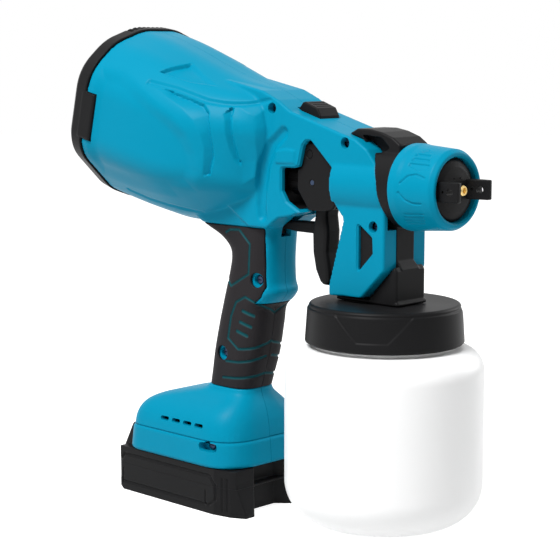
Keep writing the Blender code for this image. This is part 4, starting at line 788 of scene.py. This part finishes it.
# Ribs as (distance along the skin, z), in mm: they sink like the grooves, and their lighter tint is a
# painted highlight
GRIP_RIBS = [
    [(42.7, 135.5), (53.1, 132.7)], [(40.1, 127.9), (50.2, 125.2)], [(37.2, 121.5), (46.5, 119)],
]


def grip_lines_and_rib_highlight(obj):
    """How strongly each vertex lies in a groove, from 0 to 1. The lines are where hard plastic shows; the
    ribs' share also tints them lighter as a painted highlight.
    """
    x, y, z = (vertices(obj) / MM).T
    rear, front, half = np.array([smooth_between(HANDLE_STATIONS, v * MM) for v in z]).T / MM
    along = x + (half - np.abs(y))
    on_skin = np.minimum(np.abs(np.abs(y) - half), np.abs(x - front)) < 9
    strength = np.zeros(len(x))
    for line in GRIP_LINES:
        strength = np.maximum(strength, 1 - ramp(distance_to_line(along, z, line), 0.35, 1.2))
    for line in GRIP_RIBS:
        strength = np.maximum(strength, 1 - ramp(distance_to_line(along, z, line), 0.6, 1.5))
    return strength * on_skin * (x > rear + 2)


def grips():
    """Both rubber grips from one skin, with their grooves."""
    outer = handle_solid(82 * MM, 198 * MM)
    inner = handle_solid(81 * MM, 199 * MM, GRIP_THICKNESS - GAP)
    barrel = loft([barrel_section(p, -GAP) for p in steps_between(0, BARREL_LENGTH, 40)])
    cut(outer, inner, blue_zone(GAP), barrel)
    for name in ("handle_upper", "handle_lower"):
        cut(outer, across_rod(*SCREWS[name][:2], 4.9))
    skin = remeshed(outer, 0.45 * MM, 2)
    push(skin, -0.8 * MM * grip_lines_and_rib_highlight(skin))
    for node, low, high in (("grip_right", -60, -PARTING), ("grip_left", PARTING, 60)):
        piece = add("half", skin.data.copy())
        boolean(piece, block((-100, low, 60), (120, high, 220)), "INTERSECT")
        # Marks the grooves for their plastic tint and the ribs for their painted highlight
        line = piece.data.attributes.new("line", "FLOAT", "POINT")
        line.data.foreach_set("value", grip_lines_and_rib_highlight(piece).astype(np.float32))
        stands_for(piece, node, 60)
    drop(skin)


# ---- rear cap

def cap_section(forward, inset):
    """The housing's section, carried straight on behind the rear edge."""
    shift = FORWARD * min(forward, 0)
    return [p + shift for p in barrel_section(max(forward, 0), inset)]


def stretch(start, end, inset):
    """A stretch of that form between two places on the axis."""
    return loft([cap_section(start, inset), cap_section(end, inset)])


def rear_cap():
    """The cup with its rounded edge, side tabs, grille and the finger ribs along its top."""
    ring = loft([
        cap_section(-CAP_LENGTH, 5.5 * MM), cap_section(-CAP_LENGTH + 1.0 * MM, 3.6 * MM),
        cap_section(-CAP_LENGTH + 2.4 * MM, 2.0 * MM), cap_section(-CAP_LENGTH + 6 * MM, -0.4 * MM),
        cap_section(-GAP, -CAP_PROUD),
    ])
    cut(ring, stretch(-CAP_LENGTH + 3 * MM, 2 * MM, 5 * MM))
    lip = stretch(-5 * MM, 6 * MM, WALL + GAP)
    cut(lip, stretch(-9 * MM, 7 * MM, WALL + 2.5 * MM))
    join(ring, lip)
    for side in (-1, 1):
        far = side * (BARREL_HALF_WIDTH + CAP_PROUD) / MM
        join(ring, bevelled(axis_block((-4, side * 50, -14), (9, far, 18)), 1.2 * MM))
    cut(ring, stretch(-3 * MM, 12 * MM, WALL + 2.5 * MM))
    back = -CAP_LENGTH / MM
    reaches = [(5, 27), (4, 31), (3, 38), (2, 43), (1, 43), (0, 43), (-1, 43), (-2, 40), (-3, 34), (-4, 27)]
    for row, reach in reaches:
        up = row * 9
        for side in (-1, 1):
            slot = axis_block((back - 2, side * 2, up - 2.4), (back + 5, side * reach, up + 2.4))
            cut(ring, bevelled(slot, 1.0 * MM, 2))
    for i in range(-5, 6):
        y = i * 4
        low = 58.9 - 0.36 * max(abs(y) - 11.4, 0)
        cut(ring, axis_block((-14, y - 1.1, low), (-4.5, y + 1.1, 66)))
    stands_for(remeshed(ring, 0.55 * MM, 2), "rear_cap")


# ---- spray body, nut and air cap

COLUMN_OUTLINE = mm([
    (139.4, 214), (139.4, 177.5), (134.5, 162), (122.5, 160.8), (122.5, 151.9), (168.5, 151.9),
    (170.5, 156), (170.5, 174), (166, 179), (166, 214),
])
FOOT_OUTLINE = mm([(149.5, 151.9), (170.5, 151.9), (170.5, 173), (168.6, 176), (149.5, 156.6)])
FLANGE_OUTLINE = mm([(122, 151.9), (172, 151.9), (172, 154.4), (122, 154.4)])
TOP_OUTLINE = mm([
    (126, 252), (138, 258.2), (148, 258.2), (157, 256.6), (166, 253.6), (171.9, 249.6), (171.9, 236),
    (150, 236), (140, 246),
])
TOP_RECESS = mm([(141.5, 254.6), (157.5, 253.4), (164.5, 247.2), (156.6, 243.4), (150.5, 245.2)])
LUG_OUTLINE = mm([(95.6, 230), (95.6, 243), (98, 246), (103, 246), (105.6, 243), (105.6, 230)])
PIVOT = (100.5, 241)
COLLAR_RADIUS = 24.8 * MM
THREAD_RADIUS = 21.4 * MM
SPIGOT_RADIUS = 11 * MM
FOOT_HALF = 14 * MM
NUT_REAR_X = 172.5 * MM
NUT_FRONT_X = 205.3 * MM
NUT_RADIUS = 26.4 * MM
NUT_MOUTH_RADIUS = 19.4 * MM


def on_nozzle(start, end, radius, steps=48):
    """A rod on the nozzle's axis between two x, in mm."""
    return rod((start * MM, 0, NOZZLE_Z), (end * MM, 0, NOZZLE_Z), radius, steps=steps)


def across_rod(x, z, radius):
    """A rod through from side to side, in mm."""
    return rod((x * MM, -30 * MM, z * MM), (x * MM, 30 * MM, z * MM), radius * MM)


def spray_body():
    """The collar, top block, column, foot and flange behind the nut, with their bores."""
    collar = rod((141 * MM, 0, NOZZLE_Z), (NUT_REAR_X - GAP, 0, NOZZLE_Z), COLLAR_RADIUS, steps=128)
    join(collar, bevelled(prism(TOP_OUTLINE, -13.5 * MM, 13.5 * MM), 1.2 * MM, 3, 30))
    for side in (-1, 1):
        cut(collar, prism(rounded(TOP_RECESS, 1.2 * MM, 4), side * 7.5 * MM, side * 20 * MM))
    beside = NECK_HALF_WIDTH + GAP
    cut(collar, prism(offset_outline(NECK_OUTLINE, GAP), -beside, beside))
    cut(collar, prism(offset_outline(FRONT_LIMIT, GAP)[2:] + mm([(60, 230)]), -60 * MM, 60 * MM))
    column = prism(COLUMN_OUTLINE, -FRAME_INSIDE + GAP, FRAME_INSIDE - GAP)
    foot = bevelled(prism(FOOT_OUTLINE, -FOOT_HALF, FOOT_HALF), 2.5 * MM, 4, 60)
    flange = bevelled(prism(FLANGE_OUTLINE, -FOOT_HALF, FOOT_HALF), 1 * MM, 2, 60)
    lug = prism(LUG_OUTLINE, -12.4 * MM, 12.4 * MM)
    spigot = rod((JAR_X, 0, 143 * MM), (JAR_X, 0, 153 * MM), SPIGOT_RADIUS, steps=64)
    body = on_nozzle(88, 168, 12 * MM, 64)
    join(body, collar, column, foot, flange, lug, on_nozzle(169, 186, THREAD_RADIUS, 96), spigot)
    cut(body, on_nozzle(80, 118, 5 * MM), on_nozzle(117, 124, 5.3 * MM), on_nozzle(110, 180, 2 * MM))
    cut(body, on_nozzle(174, 190, 5.95 * MM))
    cut(body, rod((JAR_X, 0, 140 * MM), (JAR_X, 0, NOZZLE_Z), 2.6 * MM))
    cut(body, rod((JAR_X, 0, 140 * MM), (JAR_X, 0, 152 * MM), 4.3 * MM))
    cut(body, across_rod(*PIVOT, 2.8), block((97, -30, 221), (105, 30, 226.2)))
    cut(body, across_rod(*SCREWS["frame"][:2], 1.7))
    window = offset_outline(FRAME_WINDOW, -GAP)
    for side in (-1, 1):
        join(body, prism(window, side * 7 * MM, side * 17.6 * MM))
    stands_for(remeshed(body, 0.5 * MM, 2), "spray_body")


# Outline of the black sheet of painted shade behind the trigger, as (x, z) in mm
SHADE_LINING = mm([(71.4, 207.4), (71.4, 236), (77.2, 247.6), (84, 250.6), (93, 250.6), (93, 206.2), (84, 205.2)])


def shade_lining():
    """A thin black sheet behind the trigger: painted shade over the housing's inside where the window shows
    it.
    """
    shell = prism(SHADE_LINING, -16.2 * MM, 16.2 * MM)
    cut(shell, prism(offset_outline(SHADE_LINING, -0.7 * MM), -20 * MM, 20 * MM))
    cut(shell, block((86, -20, 190), (100, 20, 260)))
    shell.name = "shade_lining"
    # black all over, as painted shade
    dress(shell, "black_plastic", 30)
    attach(shell, BODY_OF["shell_right"])


def subdivided(profile, longest):
    """The profile with points added, so that none of its sides is longer than that."""
    made = []
    for a, b in zip(profile, profile[1:]):
        count = max(1, math.ceil(math.dist(a, b) / longest))
        made += [(a[0] + (b[0] - a[0]) * k / count, a[1] + (b[1] - a[1]) * k / count) for k in range(count)]
    return made + [profile[-1]]


# Styling of the nut's side, as (x, distance round it from its top), in mm
NUT_PANEL = [
    (184.8, 25.8), (185.4, 13.8), (191.1, 9.2), (195.7, 13.8), (199.7, 24), (199.6, 27.2), (193.2, 29),
]
NUT_RIBS = [[(183, 14.2), (199, 14.2)], [(183, 18.4), (200, 18.4)], [(183, 22.6), (202, 22.6)]]
NUT_GROOVES = [
    [(182.3, 36.9), (187.1, 32.2), (192.4, 30.9), (198.5, 32.7)],
    [(181.3, 42.8), (185.2, 47), (190.6, 49.3), (196.2, 49.3)],
    [(183.3, 56.7), (195.7, 56.7)], [(182.3, 59.4), (194.8, 59.4)], [(181.6, 62), (194.4, 62)],
    [(181.3, 65.2), (192.9, 65.2)],
]


def lock_nut():
    """The blue nut: a recessed panel with ribs, and grooves, twice round its side."""
    front = NUT_FRONT_X
    rear = NUT_REAR_X
    slim = NUT_RADIUS - 2.2 * MM
    mouth = NUT_MOUTH_RADIUS
    room = THREAD_RADIUS + 0.6 * MM
    lip = 6.7 * MM
    corners = [
        (mouth, front - 1.2 * MM), (mouth + MM, front), (slim - 2 * MM, front), (slim, front - 3 * MM),
        (NUT_RADIUS - 0.6 * MM, rear + 9 * MM), (NUT_RADIUS, rear + 6 * MM), (NUT_RADIUS, rear + MM),
        (NUT_RADIUS - MM, rear), (room, rear), (room, front - lip), (mouth, front - lip),
    ]
    radii = [r * MM for r in (0.6, 0.8, 2.4, 2.6, 4, 4, 0.8, 0.8, 0.3, 0.3, 0.3)]
    outline = rounded(corners, radii, 4)
    profile = subdivided(outline + outline[:1], 0.5 * MM)[:-1]
    nut = turned(profile, (0, 0, NOZZLE_Z), (1, 0, 0), 540)
    x, y, z = (vertices(nut) / MM).T
    up = z - NOZZLE_Z / MM
    radius = np.hypot(y, up)
    around = np.arctan2(-y, up) % math.pi * NUT_RADIUS / MM
    outside = radius > 23
    panel = ramp(depth_in(x, around, NUT_PANEL), 0, 0.9)
    ribs = np.zeros(len(x))
    for line in NUT_RIBS:
        ribs = np.maximum(ribs, 1 - ramp(distance_to_line(x, around, line), 0.5, 1.1))
    amount = -0.8 * panel * (1 - ribs)
    for line in NUT_GROOVES:
        amount = np.minimum(amount, -0.7 * (1 - ramp(distance_to_line(x, around, line), 0.25, 1.0)))
    stands_for(push(nut, amount * outside * MM), "lock_nut")


def air_cap():
    """The domed disc with its horns, air holes and the hole round the nozzle's tip."""
    corners = mm([
        (3.3, 204.9), (8, 204.7), (13.5, 204.1), (17.6, 202.9), (19, 201.2), (19, 198.3), (21.6, 198.3),
        (21.6, 195.5), (18, 195.5), (17, 198.6), (12, 200.6), (3.3, 201.6),
    ])
    radii = [0.3 * MM] + [5 * MM] * 3 + [1.5 * MM] + [0.3 * MM] * 7
    cap = turned(rounded(corners, radii, 5), (0, 0, NOZZLE_Z), (1, 0, 0), 128)
    low = NOZZLE_Z - 5.9 * MM
    high = NOZZLE_Z + 5.9 * MM
    for side in (-1, 1):
        outline = mm([
            (200, side * 8.5), (203, side * 9.5), (218, side * 13), (218, side * 16.2), (211, side * 17),
            (200, side * 17),
        ])
        join(cap, bevelled(prism(outline if side > 0 else outline[::-1], low, high, "Z"), 0.6 * MM, 3, 30))
        for x, radius in ((212.4, 2.2 * MM), (207.4, 0.8 * MM)):
            cut(cap, rod((x * MM, side * 6 * MM, NOZZLE_Z), (x * MM, side * 24 * MM, NOZZLE_Z), radius))
    holes = 8
    for k in range(holes):
        angle = 2 * math.pi * (k + 0.5) / holes
        y = 7.6 * MM * math.cos(angle)
        z = NOZZLE_Z + 7.6 * MM * math.sin(angle)
        cut(cap, rod((200 * MM, y, z), (206 * MM, y, z), 0.5 * MM, steps=12))
    stands_for(cap, "air_cap", 40)


def nozzle():
    """The brass nozzle, whose tip shows between the horns."""
    profile = mm([
        (0.9, 208.9), (0.9, 206), (1.7, 205), (1.7, 176.3), (5.5, 176.3), (5.5, 186.3), (9, 186.3), (9, 190),
        (7, 191), (3.1, 200.5), (3.1, 209.6), (2.7, 210.2), (1.7, 210.2), (1.3, 208.9),
    ])
    stands_for(turned(profile, (0, 0, NOZZLE_Z), (1, 0, 0), 48), "fluid_nozzle", 30)


# ---- jar and lid

JAR_RADIUS = 62 * MM
JAR_FLOOR_Z = 13.8 * MM
JAR_SHOULDER_Z = 124.5 * MM
JAR_WALL = 1.8 * MM
NECK_RADIUS = 44.4 * MM
LID_RADIUS = 49.4 * MM
LID_LOW_Z = 126.9 * MM
LID_TOP_Z = 151.6 * MM
LID_WALL = 3 * MM
LID_PANEL_AT = 58.5  # degrees from forward to the first panel's middle
LID_MM_PER_DEGREE = 0.855


def arc_points(centre, radius, start_deg, end_deg, steps):
    made = []
    for k in range(steps + 1):
        angle = math.radians(start_deg + (end_deg - start_deg) * k / steps)
        made.append((centre[0] + radius * math.cos(angle), centre[1] + radius * math.sin(angle)))
    return made


def jar_side(inset):
    """The jar's side from the neck's rim down to its floor."""
    neck = NECK_RADIUS - inset
    side = JAR_RADIUS - inset
    shoulder = 15 * MM
    foot = 26 * MM
    points = [(neck, 146.2 * MM), (neck, JAR_SHOULDER_Z - inset * 0.6)]
    points += arc_points((side - shoulder, JAR_SHOULDER_Z - inset - shoulder), shoulder, 82, 0, 16)
    points += arc_points((side - foot + inset, JAR_FLOOR_Z + foot), foot - inset, 0, -90, 20)
    points.append((0, JAR_FLOOR_Z + inset + 1.2 * MM))
    return points


def jar():
    """The jar as a shell, open at its neck."""
    profile = jar_side(JAR_WALL)[::-1] + jar_side(0)
    stands_for(turned(profile, (JAR_X, 0, 0), (0, 0, 1), 192), "paint_jar", 30)


# (Distance round the lid from the panel's middle, z), in mm
LID_PANEL = [(-28, 152), (-26.9, 149.8), (-9.8, 133), (9.8, 133), (26.9, 149.8), (28, 152)]


def lid():
    """The jar's lid, with three sunk panels round its side and a line round its top edge."""
    inner = NECK_RADIUS + 0.2 * MM
    hole = SPIGOT_RADIUS + GAP
    top = LID_TOP_Z
    low = LID_LOW_Z
    slim = LID_RADIUS - 1.4 * MM
    corners = [
        (hole, top), (slim - 1.8 * MM, top), (slim, top - 3.5 * MM), (LID_RADIUS, low + MM),
        (LID_RADIUS - MM, low), (inner, low), (inner, top - LID_WALL), (hole, top - LID_WALL),
    ]
    radii = [0.4 * MM, 2.2 * MM, 3.2 * MM, 0.9 * MM, 0.9 * MM, 0.3 * MM, 0.3 * MM, 0.3 * MM]
    outline = rounded(corners, radii, 5)
    made = turned(subdivided(outline + outline[:1], 0.6 * MM)[:-1], (JAR_X, 0, 0), (0, 0, 1), 540)
    x, y, z = (vertices(made) / MM).T
    x -= JAR_X / MM
    around = (np.degrees(np.arctan2(-y, x)) - LID_PANEL_AT + 60) % 120 - 60
    outside = np.hypot(x, y) > 46.4
    amount = -0.65 * ramp(depth_in(around * LID_MM_PER_DEGREE, z, LID_PANEL), 0, 0.8) * (z < 149.9)
    amount = np.minimum(amount, -0.4 * (1 - ramp(np.abs(z - 149.3), 0.2, 0.8)))
    stands_for(push(made, amount * outside * MM), "jar_lid", 50)


# ---- battery

BATTERY_PANEL = [(-60, 9), (-57, 6), (30, 6), (36, 10), (36, 20), (31, 26), (-55, 26), (-60, 21)]


def battery():
    """Both halves of the case from one smooth form, so that only a hairline parts them."""
    plan = mm([(-66.9, -30.5), (-60, -37.4), (35, -37.4), (48, -34.8), (57.5, -30)])
    outline = plan + mm([(57.4, -22.1), (44, -10.1)])
    outline += [(x, -y) for x, y in outline[::-1]]
    filler = prism(outline, 18.6 * MM, 19.6 * MM, "Z")
    sides = prism(mm([(-66.9, 10), (-66.9, 22), (51.6, 22), (51.6, 21), (53, 10)]), -50 * MM, 50 * MM)
    boolean(filler, sides, "INTERSECT")
    cut(filler, block((-52.2, -32.8, 10), (40.2, 32.8, 25)))
    form = together(filler, copy_of("battery_lower_case"), copy_of("battery_upper_case"))
    form = remeshed(form, 0.5 * MM, 3)
    x, y, z = (vertices(form) / MM).T
    edge = depth_in(x, z, BATTERY_PANEL)
    on_side = np.abs(np.abs(y) - 37.5) < 1.2
    amount = -0.9 * (1 - ramp(np.abs(edge), 0.3, 1.3)) * on_side
    for place in (41.5, 45.5):
        amount -= 0.8 * (1 - ramp(np.abs(x - place), 0.4, 1.1)) * (z > 3) * (z < 26) * (np.abs(y) > 33)
    push(form, amount * MM)
    for node, low, high in (("battery_lower_case", 19.1, 60), ("battery_upper_case", -5, 19.2)):
        piece = add("half", form.data.copy())
        cut(piece, block((-90, -60, low), (90, 60, high)))
        stands_for(piece, node, 60)
    drop(form)


# ---- smaller pieces from their CAD forms

def softened(node, voxel, rounds):
    """The CAD form with rounded edges."""
    stands_for(remeshed(copy_of(node), voxel * MM, rounds), node)


def spring(node):
    """A copy of a spring's CAD form that stands in its place, with a mesh of its own."""
    coil = stands_for(copy_of(node), node, 60)
    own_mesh(coil)


# ---- studio

CAMERA_PLACE = (0.78617, -0.74482, 0.30542)
CAMERA_LOOKS = (-0.6912, 0.7086, -0.1421)
LENS = 103.1
LAMP_TARGET = (0.06, 0, 0.18)
WORLD_LEVEL = 0.42
FLOOR_GLOW = 0.87


def lamp(name, place, size, energy):
    """A round soft lamp that faces the object."""
    data = bpy.data.lights.new(name, "AREA")
    data.shape = "DISK"
    data.size = size
    data.energy = energy
    obj = bpy.data.objects.new(name, data)
    bpy.context.scene.collection.objects.link(obj)
    obj.location = place
    obj.rotation_euler = (Vector(LAMP_TARGET) - Vector(place)).to_track_quat("-Z", "Y").to_euler()


def studio():
    """The camera, a soft white world, two lamps and the floor."""
    scene = bpy.context.scene
    scene.view_settings.view_transform = "Standard"
    camera = bpy.data.cameras.new("camera")
    camera.lens = LENS
    camera.sensor_width = 36
    camera.clip_start = 0.05
    holder = bpy.data.objects.new("camera", camera)
    scene.collection.objects.link(holder)
    holder.location = CAMERA_PLACE
    holder.rotation_euler = Vector(CAMERA_LOOKS).to_track_quat("-Z", "Y").to_euler()
    scene.camera = holder
    world = bpy.data.worlds.new("world")
    scene.world = world
    world.use_nodes = True
    tree = world.node_tree
    link = tree.links.new
    background = tree.nodes["Background"]
    background.inputs["Color"].default_value = (1, 1, 1, 1)
    level = shader_node(tree, "MapRange", To_Min=WORLD_LEVEL, To_Max=1.0)
    link(shown_white(tree), level.inputs["Value"])
    link(level.outputs["Result"], background.inputs["Strength"])
    lamp("key", (0.1, -1.15, 1.75), 0.8, 50)
    lamp("far", (0.5, 1.5, 0.7), 0.9, 9)
    floor()


def shown_white(tree):
    """1 for what the camera sees, directly or reflected or refracted, and 0 for other light."""
    link = tree.links.new
    rays = shader_node(tree, "LightPath")
    made = rays.outputs["Is Camera Ray"]
    for kind in ("Is Glossy Ray", "Is Transmission Ray"):
        step = shader_node(tree, "Math")
        step.operation = "MAXIMUM"
        link(made, step.inputs[0])
        link(rays.outputs[kind], step.inputs[1])
        made = step.outputs[0]
    return made


def floor():
    """A pale floor that shows white to the camera and keeps a soft shadow."""
    bm = bmesh.new()
    bmesh.ops.create_grid(bm, x_segments=1, y_segments=1, size=4)
    mesh = bpy.data.meshes.new("floor")
    bm.to_mesh(mesh)
    bm.free()
    obj = add("floor", mesh)
    look = bpy.data.materials.new("floor")
    look.use_nodes = True
    tree = look.node_tree
    link = tree.links.new
    shader = tree.nodes["Principled BSDF"]
    shader.inputs["Base Color"].default_value = (0.7, 0.7, 0.7, 1)
    shader.inputs["Roughness"].default_value = 0.9
    shade = shader_node(tree, "BsdfDiffuse", Color=(0.5, 0.5, 0.5, 1))
    glow = shader_node(tree, "Emission", Strength=FLOOR_GLOW)
    white = shader_node(tree, "AddShader")
    mix = shader_node(tree, "MixShader")
    link(shade.outputs[0], white.inputs[0])
    link(glow.outputs[0], white.inputs[1])
    link(shown_white(tree), mix.inputs["Fac"])
    link(shader.outputs[0], mix.inputs[1])
    link(white.outputs[0], mix.inputs[2])
    link(mix.outputs[0], tree.nodes["Material Output"].inputs["Surface"])
    obj.data.materials.append(look)


housing()
motor_plate()
grips()
rear_cap()
spray_body()
lock_nut()
air_cap()
nozzle()
jar()
lid()
shade_lining()
battery()
for node, voxel, rounds in (
    ("trigger", 0.4, 3), ("power_button", 0.25, 2), ("battery_button", 0.3, 2), ("flow_knob", 0.3, 2),
):
    softened(node, voxel, rounds)
spring("needle_spring")
spring("battery_button_spring")
for node, obj in NODES.items():
    dress(obj, SLOT_OF[node], 35)
    if node.startswith("screw") or node == "needle_pin":
        obj.data.materials[0] = LOOKS["dark_steel"]
    if node == "trigger_pivot":
        obj.data.materials[0] = LOOKS["black_plastic"]
studio()
